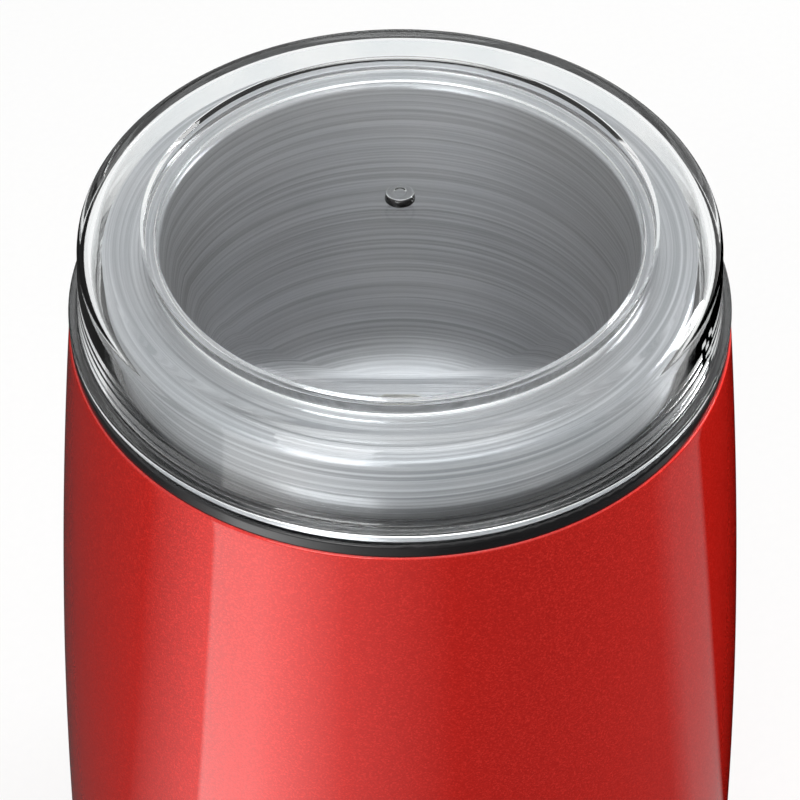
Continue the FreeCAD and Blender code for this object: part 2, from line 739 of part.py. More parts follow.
def blade_hub():
    """Black moulded boss that carries the blade above the seal, with a spigot that centres it."""
    spigot_z = blade_z + BLADE_THICKNESS - HUB_SPIGOT_SHORT
    return turned((SHAFT_R + SHAFT_FIT, hub_z), (HUB_R, hub_z, EDGE_ROUND),
                  (HUB_R - HUB_TAPER, blade_z, EDGE_ROUND), (HUB_SPIGOT_R, blade_z),
                  (HUB_SPIGOT_R, spigot_z), (SHAFT_R + SHAFT_FIT, spigot_z))


def blade_washer():
    return tube(SHAFT_R + SHAFT_FIT, WASHER_R, nut_z - WASHER_THICKNESS, nut_z)


def blade_nut():
    """Hexagonal cap nut with a domed top, on the shaft's thread."""
    r = NUT_ACROSS_FLATS / 2
    high_z = nut_z + NUT_HEIGHT
    rim_z = high_z - NUT_DOME_SINK
    rise = high_z + NUT_DOME - rim_z
    dome = turned((0, rim_z), (0, rim_z + rise), (r, rim_z, (r / 2, rim_z + cap_height(r / 2, r, rise))))
    nut = joined(hexagon(NUT_ACROSS_FLATS, nut_z, high_z), dome)
    return nut.cut(disc(SHAFT_R + SHAFT_FIT, nut_z - PAST, shaft_top_z + SEAL_GAP))


def shaft_seal():
    """Rubber ring that snaps into the hole in the bowl's floor."""
    inner_r = SHAFT_R + SEAL_GAP
    waist_r = BOWL_HOLE_R - SEAL_FIT
    lip_z = bowl_floor_z + SEAL_LIP
    low_z = bowl_under_z - SEAL_FLANGE
    return turned((inner_r, low_z), (inner_r, lip_z, SEAL_ROUND), (SEAL_LIP_R, lip_z, SEAL_ROUND),
                  (SEAL_LIP_R, bowl_floor_z), (waist_r, bowl_floor_z), (waist_r, bowl_under_z),
                  (SEAL_FLANGE_R, bowl_under_z), (SEAL_FLANGE_R, low_z, SEAL_ROUND))


def motor_carrier():
    """Sleeve round the bowl, with screw ears, a floor for the motor and pads for both switches."""
    sleeve = tube(carrier_inner_r, carrier_outer_r, carrier_under_z, seat_under_z)
    floor = tube(CARRIER_HOLE_R, carrier_outer_r, carrier_under_z, carrier_floor_z)
    ear = centred(EAR_WIDTH, carrier_outer_r - PAST, carrier_outer_r + EAR_REACH,
                  seat_under_z - EAR_HEIGHT, seat_under_z)
    tongue = centred(TONGUE_WIDTH, start_switch_back - TONGUE_DEPTH, start_switch_back,
                     BUTTON_Z - SWITCH_HEIGHT, carrier_floor_z)
    root = centred(TONGUE_WIDTH, CARRIER_HOLE_R + CARRIER_WALL, start_switch_back,
                   carrier_under_z, carrier_floor_z)
    pad = centred(PAD_WIDTH, carrier_outer_r - CARRIER_WALL, lid_switch_back,
                  lid_switch_top_z - SWITCH_HEIGHT - PAD_MARGIN, lid_switch_top_z + PAD_MARGIN)
    pad = pad.cut(disc(carrier_inner_r, carrier_floor_z, seat_under_z))
    shape = joined(sleeve, floor, tongue, root, at_azimuth(pad, LOCK_AZIMUTH),
                   *around(ear, EAR_AZIMUTHS))
    ear_hole = disc(SCREW_R + SCREW_SLACK, seat_under_z - EAR_HEIGHT - 1, seat_under_z + PAST,
                    0, -ear_hole_r())
    floor_hole = disc(SCREW_R + SCREW_SLACK, carrier_under_z - PAST, carrier_floor_z + PAST,
                      0, -DAMPER_CIRCLE_R)
    for tool in around(ear_hole, EAR_AZIMUTHS) + around(floor_hole, DAMPER_AZIMUTHS):
        shape = shape.cut(tool)
    for tool in switch_screw_shanks(THREAD_FIT, SWITCH_SCREW_BITE):
        shape = shape.cut(tool)
    return shape


def screw(r, head_r, head, length, z):
    """Screw on the axis that stands on its head's underside at z and points up."""
    return disc(head_r, z - head, z).fuse(disc(r, z, z + length)).removeSplitter()


def carrier_screws():
    """Three screws up through the carrier's ears into the seat."""
    length = EAR_HEIGHT + SEAT_FLOOR - PILOT_SKIN - SCREW_END
    one = screw(SCREW_R, EAR_SCREW_HEAD_R, SCREW_HEAD, length, seat_under_z - EAR_HEIGHT)
    one.translate(vec(0, -ear_hole_r(), 0))
    return around(one, EAR_AZIMUTHS)


def motor_screws():
    """Three screws down through the carrier's floor and the dampers into the motor."""
    length = CARRIER_FLOOR + DAMPER_HEIGHT + BELL_PLATE - MOTOR_SCREW_END
    one = screw(SCREW_R, SCREW_HEAD_R, SCREW_HEAD, length, 0)
    one.rotate(ORIGIN, ALONG_X, 180)
    one.translate(vec(0, -DAMPER_CIRCLE_R, carrier_floor_z))
    return around(one, DAMPER_AZIMUTHS)


def motor_dampers():
    """Rubber rings between the carrier's floor and the motor."""
    one = tube(SCREW_R + SCREW_SLACK, DAMPER_R, upper_plate_z, carrier_under_z, 0, -DAMPER_CIRCLE_R)
    return around(one, DAMPER_AZIMUTHS)


def upper_bearing():
    boss_top_z = upper_plate_z + BOSS_DEPTH - BEARING_SINK
    return tube(SHAFT_R + SHAFT_FIT, BEARING_R, boss_top_z - BEARING_HEIGHT, boss_top_z)


def lower_bearing():
    boss_z = lower_under_z - BOSS_DEPTH + BEARING_SINK
    return tube(SHAFT_R + SHAFT_FIT, BEARING_R, boss_z, boss_z + BEARING_HEIGHT)


def bolt_holes(z0, z1):
    """Cutters for the motor's long bolts."""
    return around(disc(BOLT_R + SCREW_SLACK, z0, z1, 0, -bolt_circle_r), BOLT_AZIMUTHS)


def upper_bracket():
    """Upper end bracket: plate, bearing boss and a wall down to the stator."""
    plate_under_z = upper_plate_z - BELL_PLATE
    wall = tube(bell_inner_r, STATOR_R, stack_top_z, upper_plate_z)
    plate = disc(STATOR_R, plate_under_z, upper_plate_z)
    boss_top_z = upper_plate_z + BOSS_DEPTH - BEARING_SINK
    boss = disc(boss_r, plate_under_z - BOSS_INNER, boss_top_z)
    shape = joined(wall, plate, boss)
    shape = shape.cut(disc(BEARING_R + BEARING_FIT, plate_under_z - BOSS_INNER - PAST, boss_top_z + PAST))
    window = centred(BELL_WINDOW, boss_r + PAST, STATOR_R + PAST,
                     stack_top_z + WINDOW_SILL, plate_under_z - UPPER_WINDOW_HEAD)
    thread = disc(SCREW_R + THREAD_FIT, plate_under_z - PAST, upper_plate_z + PAST, 0, -DAMPER_CIRCLE_R)
    vent = disc(PLATE_VENT_R, plate_under_z - PAST, upper_plate_z + PAST, 0, -PLATE_VENT_CIRCLE_R)
    cutters = around(window, evenly(UPPER_WINDOWS)) + around(thread, DAMPER_AZIMUTHS)
    cutters += around(vent, PLATE_VENT_AZIMUTHS)
    for tool in cutters + bolt_holes(plate_under_z - PAST, upper_plate_z + PAST):
        shape = shape.cut(tool)
    return shape


def lower_bracket():
    """Lower end bracket: plate, bearing boss, three ears, and windows for the brushes."""
    wall = tube(bell_inner_r, STATOR_R, lower_under_z, stack_z)
    plate = disc(STATOR_R, lower_under_z, lower_plate_z)
    boss = disc(boss_r, lower_under_z - BOSS_DEPTH, lower_plate_z)
    ear = centred(LOWER_EAR_WIDTH, bell_inner_r, lower_damper_circle_r + LOWER_EAR_WIDTH / 2,
                  lower_under_z, lower_plate_z)
    shape = joined(wall, plate, boss, *around(ear, LOWER_DAMPER_AZIMUTHS))
    shape = shape.cut(disc(BEARING_R + BEARING_FIT, lower_under_z - BOSS_DEPTH - 1, lower_plate_z + PAST))
    half_w, half_h = holder_half_sizes()
    brush_window = centred(2 * (half_w + HOLDER_WINDOW_GAP), boss_r + PAST, STATOR_R + PAST,
                           brush_z - half_h - HOLDER_WINDOW_GAP, brush_z + half_h + HOLDER_WINDOW_GAP)
    ear_hole = disc(LOWER_DAMPER_PIN_R + PIN_FIT, lower_under_z - PAST, lower_plate_z + PAST,
                    0, -lower_damper_circle_r)
    window = centred(BELL_WINDOW, boss_r + PAST, STATOR_R + PAST,
                     lower_plate_z + WINDOW_SILL, stack_z - LOWER_WINDOW_HEAD)
    cutters = around(brush_window, BRUSH_AZIMUTHS) + around(ear_hole, LOWER_DAMPER_AZIMUTHS)
    cutters += around(window, evenly(LOWER_WINDOWS))
    cutters += bolt_holes(lower_under_z - PAST, lower_plate_z + PAST)
    for tool in cutters:
        shape = shape.cut(tool)
    return shape


def wedge(angle, r, z0, z1):
    """Sector of a disc, centred on the front."""
    sector = Part.makeCylinder(r, z1 - z0, vec(0, 0, z0), UP, angle)
    sector.rotate(ORIGIN, UP, -90 - angle / 2)
    return sector


def stator_core():
    """Stack of laminations: a round yoke and two poles with shoes."""
    yoke_r = STATOR_R - STATOR_YOKE
    yoke = tube(yoke_r, STATOR_R, stack_z, stack_top_z)
    shoe_r = stator_bore_r + POLE_SHOE
    shoe = tube(stator_bore_r, shoe_r, stack_z, stack_top_z)
    shoe = shoe.common(wedge(POLE_ANGLE, STATOR_R, stack_z - PAST, stack_top_z + PAST))
    neck = centred(POLE_WIDTH, stator_bore_r, yoke_r + PAST, stack_z, stack_top_z)
    neck = neck.cut(disc(stator_bore_r, stack_z - PAST, stack_top_z + PAST))
    pole = shoe.fuse(neck)
    shape = joined(yoke, pole, at_azimuth(pole, 180))
    for tool in bolt_holes(stack_z - PAST, stack_top_z + PAST):
        shape = shape.cut(tool)
    return shape


def field_coil(azimuth):
    """Wound coil round one pole's neck, a rounded rectangular loop."""
    half_in = POLE_WIDTH / 2 + COIL_GAP
    half_out = half_in + COIL_WALL
    r0 = stator_bore_r + POLE_SHOE + COIL_GAP
    r1 = STATOR_R - STATOR_YOKE - COIL_GAP
    low, high = stack_z - COIL_GAP, stack_top_z + COIL_GAP
    outer = centred(2 * half_out, r0, r1, low - COIL_OVERHANG, high + COIL_OVERHANG)
    inner = centred(2 * half_in, r0 - 1, r1 + 1, low, high)
    coil = outer.cut(inner).common(disc(r1, low - COIL_OVERHANG - 1, high + COIL_OVERHANG + 1))
    return at_azimuth(coil, azimuth)


def motor_bolts():
    """Two long bolts that hold both brackets to the stator, heads down."""
    length = upper_plate_z + BOLT_HEAD + BOLT_END - lower_under_z
    one = screw(BOLT_R, BOLT_HEAD_R, BOLT_HEAD, length, lower_under_z)
    one.translate(vec(0, -bolt_circle_r, 0))
    return around(one, BOLT_AZIMUTHS)


def motor_nuts():
    """Hexagonal nuts on the upper ends of the motor bolts."""
    nut = hexagon(BOLT_NUT_ACROSS, upper_plate_z, upper_plate_z + BOLT_HEAD)
    nut = nut.cut(disc(BOLT_R + THREAD_FIT, upper_plate_z - PAST, upper_plate_z + BOLT_HEAD + 1))
    nut.translate(vec(0, -bolt_circle_r, 0))
    return around(nut, BOLT_AZIMUTHS)


def holder_half_sizes():
    """Half width and half height of a brush holder's outside."""
    return BRUSH_WIDTH / 2 + HOLDER_FIT + HOLDER_WALL, BRUSH_HEIGHT / 2 + HOLDER_FIT + HOLDER_WALL


def brush_holders():
    """Square brass tubes, closed outside by a cap, through the lower bracket's windows."""
    half_w, half_h = holder_half_sizes()
    bore_w, bore_h = BRUSH_WIDTH / 2 + HOLDER_FIT, BRUSH_HEIGHT / 2 + HOLDER_FIT
    outer = centred(2 * half_w, holder_inner_r, holder_outer_r, brush_z - half_h, brush_z + half_h)
    bore = centred(2 * bore_w, holder_inner_r - PAST, holder_outer_r - HOLDER_CAP,
                   brush_z - bore_h, brush_z + bore_h)
    return around(outer.cut(bore), BRUSH_AZIMUTHS)


def carbon_brushes():
    """Carbon blocks whose ends follow the commutator."""
    face_r = COMMUTATOR_R + BRUSH_GAP
    low, high = brush_z - BRUSH_HEIGHT / 2, brush_z + BRUSH_HEIGHT / 2
    one = centred(BRUSH_WIDTH, 0, face_r + BRUSH_LENGTH, low, high)
    return around(one.cut(disc(face_r, low - PAST, high + PAST)), BRUSH_AZIMUTHS)


def brush_springs():
    """Coil springs behind the brushes, drawn as the sleeve they fill."""
    back_r = COMMUTATOR_R + BRUSH_GAP + BRUSH_LENGTH
    cap_r = holder_outer_r - HOLDER_CAP
    sleeve = bar(BRUSH_SPRING_R, 0, brush_z, -cap_r, -back_r)
    sleeve = sleeve.cut(bar(BRUSH_SPRING_R - BRUSH_SPRING_WALL, 0, brush_z, -cap_r - PAST, 0))
    return around(sleeve, BRUSH_AZIMUTHS)


def motor_shaft():
    return turned((0, shaft_z), (0, shaft_top_z), (SHAFT_R, shaft_top_z, EDGE_ROUND),
                  (SHAFT_R, shaft_z, EDGE_ROUND))


def armature_core():
    """Slotted laminations on the shaft."""
    core = tube(SHAFT_R + SHAFT_FIT, armature_r, stack_z, stack_top_z)
    slot = disc(SLOT_R, stack_z - PAST, stack_top_z + PAST, 0, -slot_circle_r)
    mouth = centred(SLOT_MOUTH, slot_circle_r, armature_r + PAST, stack_z - PAST, stack_top_z + PAST)
    slots = around(slot.fuse(mouth), evenly(ARMATURE_SLOTS))
    return core.cut(Part.makeCompound(slots))


def armature_windings():
    """Enamelled wire: a bundle in each slot and a rounded head at both ends."""
    low = turned((WINDING_CORE_R, stack_z), (WINDING_CORE_R, stack_z - WINDING_OVERHANG, WINDING_ROUND),
                 (winding_r, stack_z - WINDING_OVERHANG, WINDING_ROUND), (winding_r, stack_z))
    high = turned((WINDING_CORE_R, stack_top_z), (winding_r, stack_top_z),
                  (winding_r, stack_top_z + WINDING_OVERHANG, WINDING_ROUND),
                  (WINDING_CORE_R, stack_top_z + WINDING_OVERHANG, WINDING_ROUND))
    bundle = disc(SLOT_R - WIRE_SLACK, stack_z - PAST, stack_top_z + PAST, 0, -slot_circle_r)
    return joined(low, high, *around(bundle, evenly(ARMATURE_SLOTS)))


def commutator():
    """Copper bars round the shaft, with a gap between each two."""
    low_z = commutator_top_z - COMMUTATOR_HEIGHT
    ring = tube(SHAFT_R + SHAFT_FIT, COMMUTATOR_R, low_z, commutator_top_z)
    gap = centred(COMMUTATOR_GAP, COMMUTATOR_R - COMMUTATOR_GAP_DEPTH, COMMUTATOR_R + PAST,
                  low_z - PAST, commutator_top_z + PAST)
    return ring.cut(Part.makeCompound(around(gap, evenly(COMMUTATOR_BARS))))


def cooling_fan():
    """Radial fan on the shaft's lower end."""
    plate = tube(SHAFT_R + SHAFT_FIT, FAN_R, fan_top_z - FAN_PLATE, fan_top_z)
    hub = tube(SHAFT_R + SHAFT_FIT, FAN_HUB_R, fan_z, fan_top_z)
    vane = centred(FAN_BLADE, FAN_HUB_R - FAN_VANE_INSET, FAN_R - FAN_VANE_INSET,
                   fan_z, fan_top_z - FAN_PLATE / 2)
    return joined(plate, hub, *around(vane, evenly(FAN_BLADES)))


def lower_dampers():
    """Rubber buffers between the base's posts and the lower bracket's ears."""
    low_z = lower_under_z - LOWER_DAMPER_HEIGHT
    pin_z = lower_plate_z + LOWER_DAMPER_PIN_REACH
    one = turned((0, low_z), (0, pin_z), (LOWER_DAMPER_PIN_R, pin_z, EDGE_ROUND),
                 (LOWER_DAMPER_PIN_R, lower_under_z), (DAMPER_R, lower_under_z), (DAMPER_R, low_z))
    one.translate(vec(0, -lower_damper_circle_r, 0))
    return around(one, LOWER_DAMPER_AZIMUTHS)


def start_button():
    """Button cap curved with the housing, with a skirt, a lip that keeps it in, and a stem."""
    hollow_r = BUTTON_R - BUTTON_WALL
    skirt = bar(BUTTON_R, 0, BUTTON_Z, -2 * BELLY_R, -button_lip_end)
    hollow = bar(hollow_r, 0, BUTTON_Z, -2 * BELLY_R, -button_lip_end + PAST)
    cap = skirt.common(body_solid(BUTTON_PROUD))
    cap = cap.cut(hollow.common(body_solid(BUTTON_PROUD - BUTTON_SKIN)))
    rims = [e for e in cap.Edges if e.BoundBox.XLength > 2 * BUTTON_R - BUTTON_ROUND]
    cap = cap.makeFillet(BUTTON_ROUND, [min(rims, key=lambda e: e.BoundBox.YMin)])
    lip = bar(button_lip_r, 0, BUTTON_Z, -button_lip_front, -button_lip_end)
    lip = lip.cut(bar(hollow_r, 0, BUTTON_Z, -button_lip_front - PAST, -button_lip_end + PAST))
    stem = bar(BUTTON_STEM_R, 0, BUTTON_Z, -2 * BELLY_R, -button_stem_end)
    stem = stem.common(body_solid(BUTTON_PROUD - BUTTON_SKIN / 2))
    return joined(cap, lip, stem)


def button_bezel():
    """Black ring round the button: a flange on the housing and a sleeve through it."""
    sleeve_r = button_hole_r - BEZEL_FIT
    sleeve = bar(sleeve_r, 0, BUTTON_Z, -2 * BELLY_R, -bezel_end)
    flange = bar(sleeve_r + BEZEL_FLANGE, 0, BUTTON_Z, -2 * BELLY_R, -bezel_end)
    flange = flange.common(body_solid(BEZEL_PROUD)).cut(body_solid(0.0))
    shape = joined(sleeve.common(body_solid(BEZEL_PROUD)), flange)
    return shape.cut(bar(BUTTON_R + BUTTON_GAP, 0, BUTTON_Z, -2 * BELLY_R, -bezel_end + PAST))


def switch_screw_places():
    """Each switch screw as (x, height, radius of the case's front, azimuth)."""
    start_x = START_SWITCH_LENGTH / 2 - SWITCH_SCREW_INSET
    lid_x = LID_SWITCH_LENGTH / 2 - SWITCH_SCREW_INSET
    start_z = BUTTON_Z - SWITCH_SCREW_DROP
    lid_z = lid_switch_top_z - SWITCH_HEIGHT + SWITCH_SCREW_INSET
    lid_front = lid_switch_back + SWITCH_DEPTH
    return [(start_x, start_z, start_switch_front, 0.0), (-start_x, start_z, start_switch_front, 0.0),
            (lid_x, lid_z, lid_front, LOCK_AZIMUTH), (-lid_x, lid_z, lid_front, LOCK_AZIMUTH)]


def switch_screw_shanks(slack, reach):
    """Cutters, or shanks, of the switch screws, which go in radially."""
    shanks = []
    for x, z, front, azimuth in switch_screw_places():
        shank = bar(SWITCH_SCREW_R + slack, x, z, -front, -front + SWITCH_DEPTH + reach)
        shanks.append(at_azimuth(shank, azimuth))
    return shanks


def switch_screws():
    """Two small screws through each microswitch."""
    screws = []
    shanks = switch_screw_shanks(0.0, SWITCH_SCREW_BITE - THREAD_FIT)
    for place, shank in zip(switch_screw_places(), shanks):
        x, z, front, azimuth = place
        head = bar(SWITCH_SCREW_HEAD_R, x, z, -front - SWITCH_SCREW_HEAD, -front)
        screws.append(shank.fuse(at_azimuth(head, azimuth)).removeSplitter())
    return screws


def start_switch():
    """Case of the microswitch behind the button, bored for its plunger and screws."""
    case = centred(START_SWITCH_LENGTH, start_switch_back, start_switch_front,
                   BUTTON_Z - SWITCH_HEIGHT / 2, BUTTON_Z + SWITCH_HEIGHT / 2)
    bore = bar(PLUNGER_R + PLUNGER_FIT, 0, BUTTON_Z, -start_switch_front - PAST,
               -start_switch_back - SWITCH_FLOOR)
    case = case.cut(bore)
    for tool in switch_screw_shanks(THREAD_FIT, PAST)[:2]:
        case = case.cut(tool)
    return case


def start_switch_plunger():
    """Pin that the button's stem pushes into the switch."""
    inner_end = start_switch_back + SWITCH_FLOOR + BUTTON_TRAVEL + PLUNGER_FIT
    return bar(PLUNGER_R, 0, BUTTON_Z, -button_stem_end, -inner_end)


def lid_switch():
    """Case of the microswitch under the interlock slider."""
    case = centred(LID_SWITCH_LENGTH, lid_switch_back, lid_switch_back + SWITCH_DEPTH,
                   lid_switch_top_z - SWITCH_HEIGHT, lid_switch_top_z)
    bore = disc(PLUNGER_R + PLUNGER_FIT, lid_switch_top_z - LOCK_PIN_DEPTH - PAST,
                lid_switch_top_z + PAST, LOCK_PIN_OFFSET, -slider_mid_r)
    case = at_azimuth(case.cut(bore), LOCK_AZIMUTH)
    for tool in switch_screw_shanks(THREAD_FIT, PAST)[2:]:
        case = case.cut(tool)
    return case


def lid_switch_plunger():
    """Pin between the slider's foot and the inside of the lid's switch."""
    pin = disc(PLUNGER_R, lid_switch_top_z - LOCK_PIN_DEPTH, slider_foot_z,
               LOCK_PIN_OFFSET, -slider_mid_r)
    return at_azimuth(pin, LOCK_AZIMUTH)


def interlock_slider():
    """Flat pin in the collar's slot, with a wider foot that rests on the spring."""
    foot_top_z = slider_foot_z + SLIDER_FOOT_HEIGHT
    stem = centred(TAB_WIDTH, tab_inner_r, tab_outer_r, slider_foot_z, slider_top_z)
    foot = centred(SLIDER_FOOT_LENGTH, slider_mid_r - SLIDER_FOOT_DEPTH / 2,
                   slider_mid_r + SLIDER_FOOT_DEPTH / 2, slider_foot_z, foot_top_z)
    return at_azimuth(joined(stem, foot), LOCK_AZIMUTH)


def interlock_spring():
    """Return spring under the slider, drawn as the sleeve it fills."""
    sleeve = tube(LOCK_SPRING_R - LOCK_SPRING_WALL, LOCK_SPRING_R, lid_switch_top_z, slider_foot_z,
                  -LOCK_PIN_OFFSET, -slider_mid_r)
    return at_azimuth(sleeve, LOCK_AZIMUTH)


def capacitor():
    """Interference suppressor against the motor's lower bell."""
    r0 = STATOR_R + CAPACITOR_GAP
    z0 = lower_plate_z + WINDOW_SILL
    case = centred(CAPACITOR_WIDTH, r0, r0 + CAPACITOR_DEPTH, z0, z0 + CAPACITOR_HEIGHT)
    upright = [e for e in case.Edges if e.BoundBox.ZLength > CAPACITOR_HEIGHT / 2]
    return at_azimuth(case.makeFillet(CAPACITOR_ROUND, upright), CAPACITOR_AZIMUTH)


def terminal_block():
    """Block with two screw terminals on the base cover."""
    half = TERMINAL_WIDTH / 2
    y0, y1 = terminal_y - TERMINAL_DEPTH / 2, terminal_y + TERMINAL_DEPTH / 2
    high = base_top_z + TERMINAL_HEIGHT
    wire_r = TERMINAL_SCREW_R - TERMINAL_WIRE_STEP
    shape = block(-half, half, y0, y1, base_top_z, high)
    for x in (-half / 2, half / 2):
        shape = shape.cut(disc(TERMINAL_SCREW_R, high - TERMINAL_SCREW_DEPTH, high + PAST, x, terminal_y))
        shape = shape.cut(bar(wire_r, x, base_top_z + TERMINAL_WIRE_Z, y0 - PAST, y1 + PAST))
    return shape


def terminal_screws():
    """Brass grub screws of the terminal block, each with a slot."""
    high = base_top_z + TERMINAL_HEIGHT - TERMINAL_SCREW_SINK
    low = base_top_z + TERMINAL_HEIGHT - TERMINAL_SCREW_DEPTH + TERMINAL_SCREW_SINK
    screws = []
    for x in (-TERMINAL_WIDTH / 4, TERMINAL_WIDTH / 4):
        slot = block(x - TERMINAL_SCREW_R, x + TERMINAL_SCREW_R, terminal_y - TERMINAL_SLOT / 2,
                     terminal_y + TERMINAL_SLOT / 2, high - TERMINAL_SLOT, high + PAST)
        screws.append(disc(TERMINAL_SCREW_R - THREAD_FIT, low, high, x, terminal_y).cut(slot))
    return screws


def cord_gland():
    """Rubber bush in the housing's cord hole, with a flange inside and outside."""
    outer_r = GLAND_R + GLAND_FLANGE
    body = bar(GLAND_R, 0, CORD_Z, gland_inner_y, gland_face_y)
    outer = bar(outer_r, 0, CORD_Z, gland_inner_y, gland_face_y).cut(body_solid(0.0))
    inner = bar(outer_r - GLAND_ROUND, 0, CORD_Z, gland_inner_y, gland_face_y)
    rim = [e for e in outer.Edges if abs(e.BoundBox.YMin - gland_face_y) < 1e-6]
    outer = outer.makeFillet(GLAND_ROUND, rim)
    shape = joined(body, outer, inner.common(body_solid(-SHELL_WALL)))
    return shape.cut(bar(GLAND_BORE_R, 0, CORD_Z, gland_inner_y - PAST, gland_face_y + PAST))


def cord_clamp():
    """Bar that would hold the cord down on the base's saddle."""
    half = CLAMP_POST_X + CLAMP_POST_R
    high = clamp_z + CLAMP_BAR
    shape = block(-half, half, clamp_y - CLAMP_DEPTH / 2, clamp_y + CLAMP_DEPTH / 2, clamp_z, high)
    for x in (-CLAMP_POST_X, CLAMP_POST_X):
        shape = shape.cut(disc(SWITCH_SCREW_R + SCREW_SLACK, clamp_z - PAST, high + PAST, x, clamp_y))
    return shape


def clamp_screws():
    """Two screws down through the cord clamp into its posts."""
    length = CLAMP_SCREW_LENGTH + CLAMP_BAR
    screws = []
    for x in (-CLAMP_POST_X, CLAMP_POST_X):
        one = screw(SWITCH_SCREW_R, SWITCH_SCREW_HEAD_R, SWITCH_SCREW_HEAD, length, 0)
        one.rotate(ORIGIN, ALONG_X, 180)
        one.translate(vec(x, clamp_y, clamp_z + CLAMP_BAR))
        screws.append(one)
    return screws


def base_cover():
    """Black base with motor posts, the cord's saddle, air slots and holes for feet and screws."""
    plate = turned((0, base_z), (0, base_top_z), (cover_r, base_top_z), (cover_r, base_z, BASE_ROUND))
    post = disc(POST_R, base_top_z - PAST, lower_under_z - LOWER_DAMPER_HEIGHT, 0, -lower_damper_circle_r)
    clamp_posts = [disc(CLAMP_POST_R, base_top_z - PAST, clamp_z, x, clamp_y)
                   for x in (-CLAMP_POST_X, CLAMP_POST_X)]
    saddle_x = GLAND_BORE_R + SADDLE_MARGIN
    saddle = block(-saddle_x, saddle_x, clamp_y - CLAMP_DEPTH / 2, clamp_y + CLAMP_DEPTH / 2,
                   base_top_z - PAST, CORD_Z - GLAND_BORE_R - CLAMP_GAP)
    shape = joined(plate, saddle, *clamp_posts, *around(post, LOWER_DAMPER_AZIMUTHS))
    vent = centred(VENT_WIDTH, VENT_INNER_R, VENT_OUTER_R, base_z - PAST, base_top_z + PAST)
    foot_hole = disc(FOOT_STEM_R + PIN_FIT, base_z - PAST, base_top_z + PAST, 0, -foot_circle_r)
    screw_hole = disc(SCREW_R + SCREW_SLACK, base_z - PAST, base_top_z + PAST, 0, -base_screw_circle_r)
    recess = disc(SCREW_HEAD_R + RECESS_GAP, base_z - PAST, base_screw_seat_z, 0, -base_screw_circle_r)
    cutters = around(vent, evenly(VENT_COUNT)) + around(foot_hole, FOOT_AZIMUTHS)
    cutters += around(screw_hole, BASE_SCREW_AZIMUTHS) + around(recess, BASE_SCREW_AZIMUTHS)
    for x in (-CLAMP_POST_X, CLAMP_POST_X):
        cutters.append(disc(SWITCH_SCREW_R + THREAD_FIT, clamp_z - CLAMP_SCREW_LENGTH - RECESS_GAP,
                            clamp_z + PAST, x, clamp_y))
    for tool in cutters:
        shape = shape.cut(tool)
    return shape


def base_screws():
    """Three screws up through the base into the housing's posts."""
    one = screw(SCREW_R, SCREW_HEAD_R, BASE_SCREW_HEAD, BASE_SCREW_LENGTH, base_screw_seat_z)
    one.translate(vec(0, -base_screw_circle_r, 0))
    return around(one, BASE_SCREW_AZIMUTHS)


def rubber_feet():
    """Round feet whose barbed stems are pulled through the base."""
    edge_z = base_top_z + FOOT_BARB_EDGE
    end_z = base_top_z + FOOT_BARB_HEIGHT
    one = turned((0, 0), (0, end_z), (FOOT_STEM_R, end_z, FOOT_BARB_EDGE), (FOOT_BARB_R, edge_z),
                 (FOOT_BARB_R, base_top_z), (FOOT_STEM_R, base_top_z), (FOOT_STEM_R, base_z),
                 (FOOT_PAD_R, base_z, FOOT_PAD_ROUND), (FOOT_PAD_R - FOOT_PAD_TAPER, 0, FOOT_PAD_ROUND))
    one.translate(vec(0, -foot_circle_r, 0))
    return around(one, FOOT_AZIMUTHS)


SUB_PARTS = {
    "housing_shell": housing_shell,
    "collar_seat": collar_seat,
    "grinding_bowl": grinding_bowl,
    "lid": lid,
    "blade": blade,
    "blade_hub": blade_hub,
    "blade_washer": blade_washer,
    "blade_nut": blade_nut,
    "shaft_seal": shaft_seal,
    "motor_carrier": motor_carrier,
    "carrier_screws": carrier_screws,
    "motor_screws": motor_screws,
    "motor_dampers": motor_dampers,
    "upper_bearing": upper_bearing,
    "lower_bearing": lower_bearing,
    "upper_bracket": upper_bracket,
    "lower_bracket": lower_bracket,
    "stator_core": stator_core,
    "field_coil_front": lambda: field_coil(0),
    "field_coil_rear": lambda: field_coil(180),
    "motor_bolts": motor_bolts,
    "motor_nuts": motor_nuts,
    "brush_holders": brush_holders,
    "carbon_brushes": carbon_brushes,
    "brush_springs": brush_springs,
    "motor_shaft": motor_shaft,
    "armature_core": armature_core,
    "armature_windings": armature_windings,
    "commutator": commutator,
    "cooling_fan": cooling_fan,
    "lower_dampers": lower_dampers,
    "start_button": start_button,
    "button_bezel": button_bezel,
    "start_switch": start_switch,
    "start_switch_plunger": start_switch_plunger,
    "switch_screws": switch_screws,
    "interlock_slider": interlock_slider,
    "interlock_spring": interlock_spring,
    "lid_switch": lid_switch,
    "lid_switch_plunger": lid_switch_plunger,
    "capacitor": capacitor,
    "terminal_block": terminal_block,
    "terminal_screws": terminal_screws,
    "cord_clamp": cord_clamp,
    "clamp_screws": clamp_screws,
    "cord_gland": cord_gland,
    "base_cover": base_cover,
    "base_screws": base_screws,
    "rubber_feet": rubber_feet,
}

os.makedirs("parts", exist_ok=True)
for name, make in SUB_PARTS.items():
    made = make()
    shape = Part.makeCompound(made) if isinstance(made, list) else made
    solids = shape.Solids
    print(f"{name}: {len(solids)} solid(s), {shape.Volume / 1000:.2f} cm3, valid {shape.isValid()}")
    if len(solids) == 1:
        shape = solids[0]
    shape.exportStep(f"parts/{name}.step")
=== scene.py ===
# %% [markdown]
# An electric spice grinder: a flared, red lacquered housing, a brushed steel bowl, and a
# clear lid that lifts off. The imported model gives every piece's place and size, so this
# script first loads it as a fixed frame. Pieces whose surface is seen closely are modelled
# again with finer, smoother meshes, and all the others keep their shape and get a finish.

# %% The frame
import json
import math

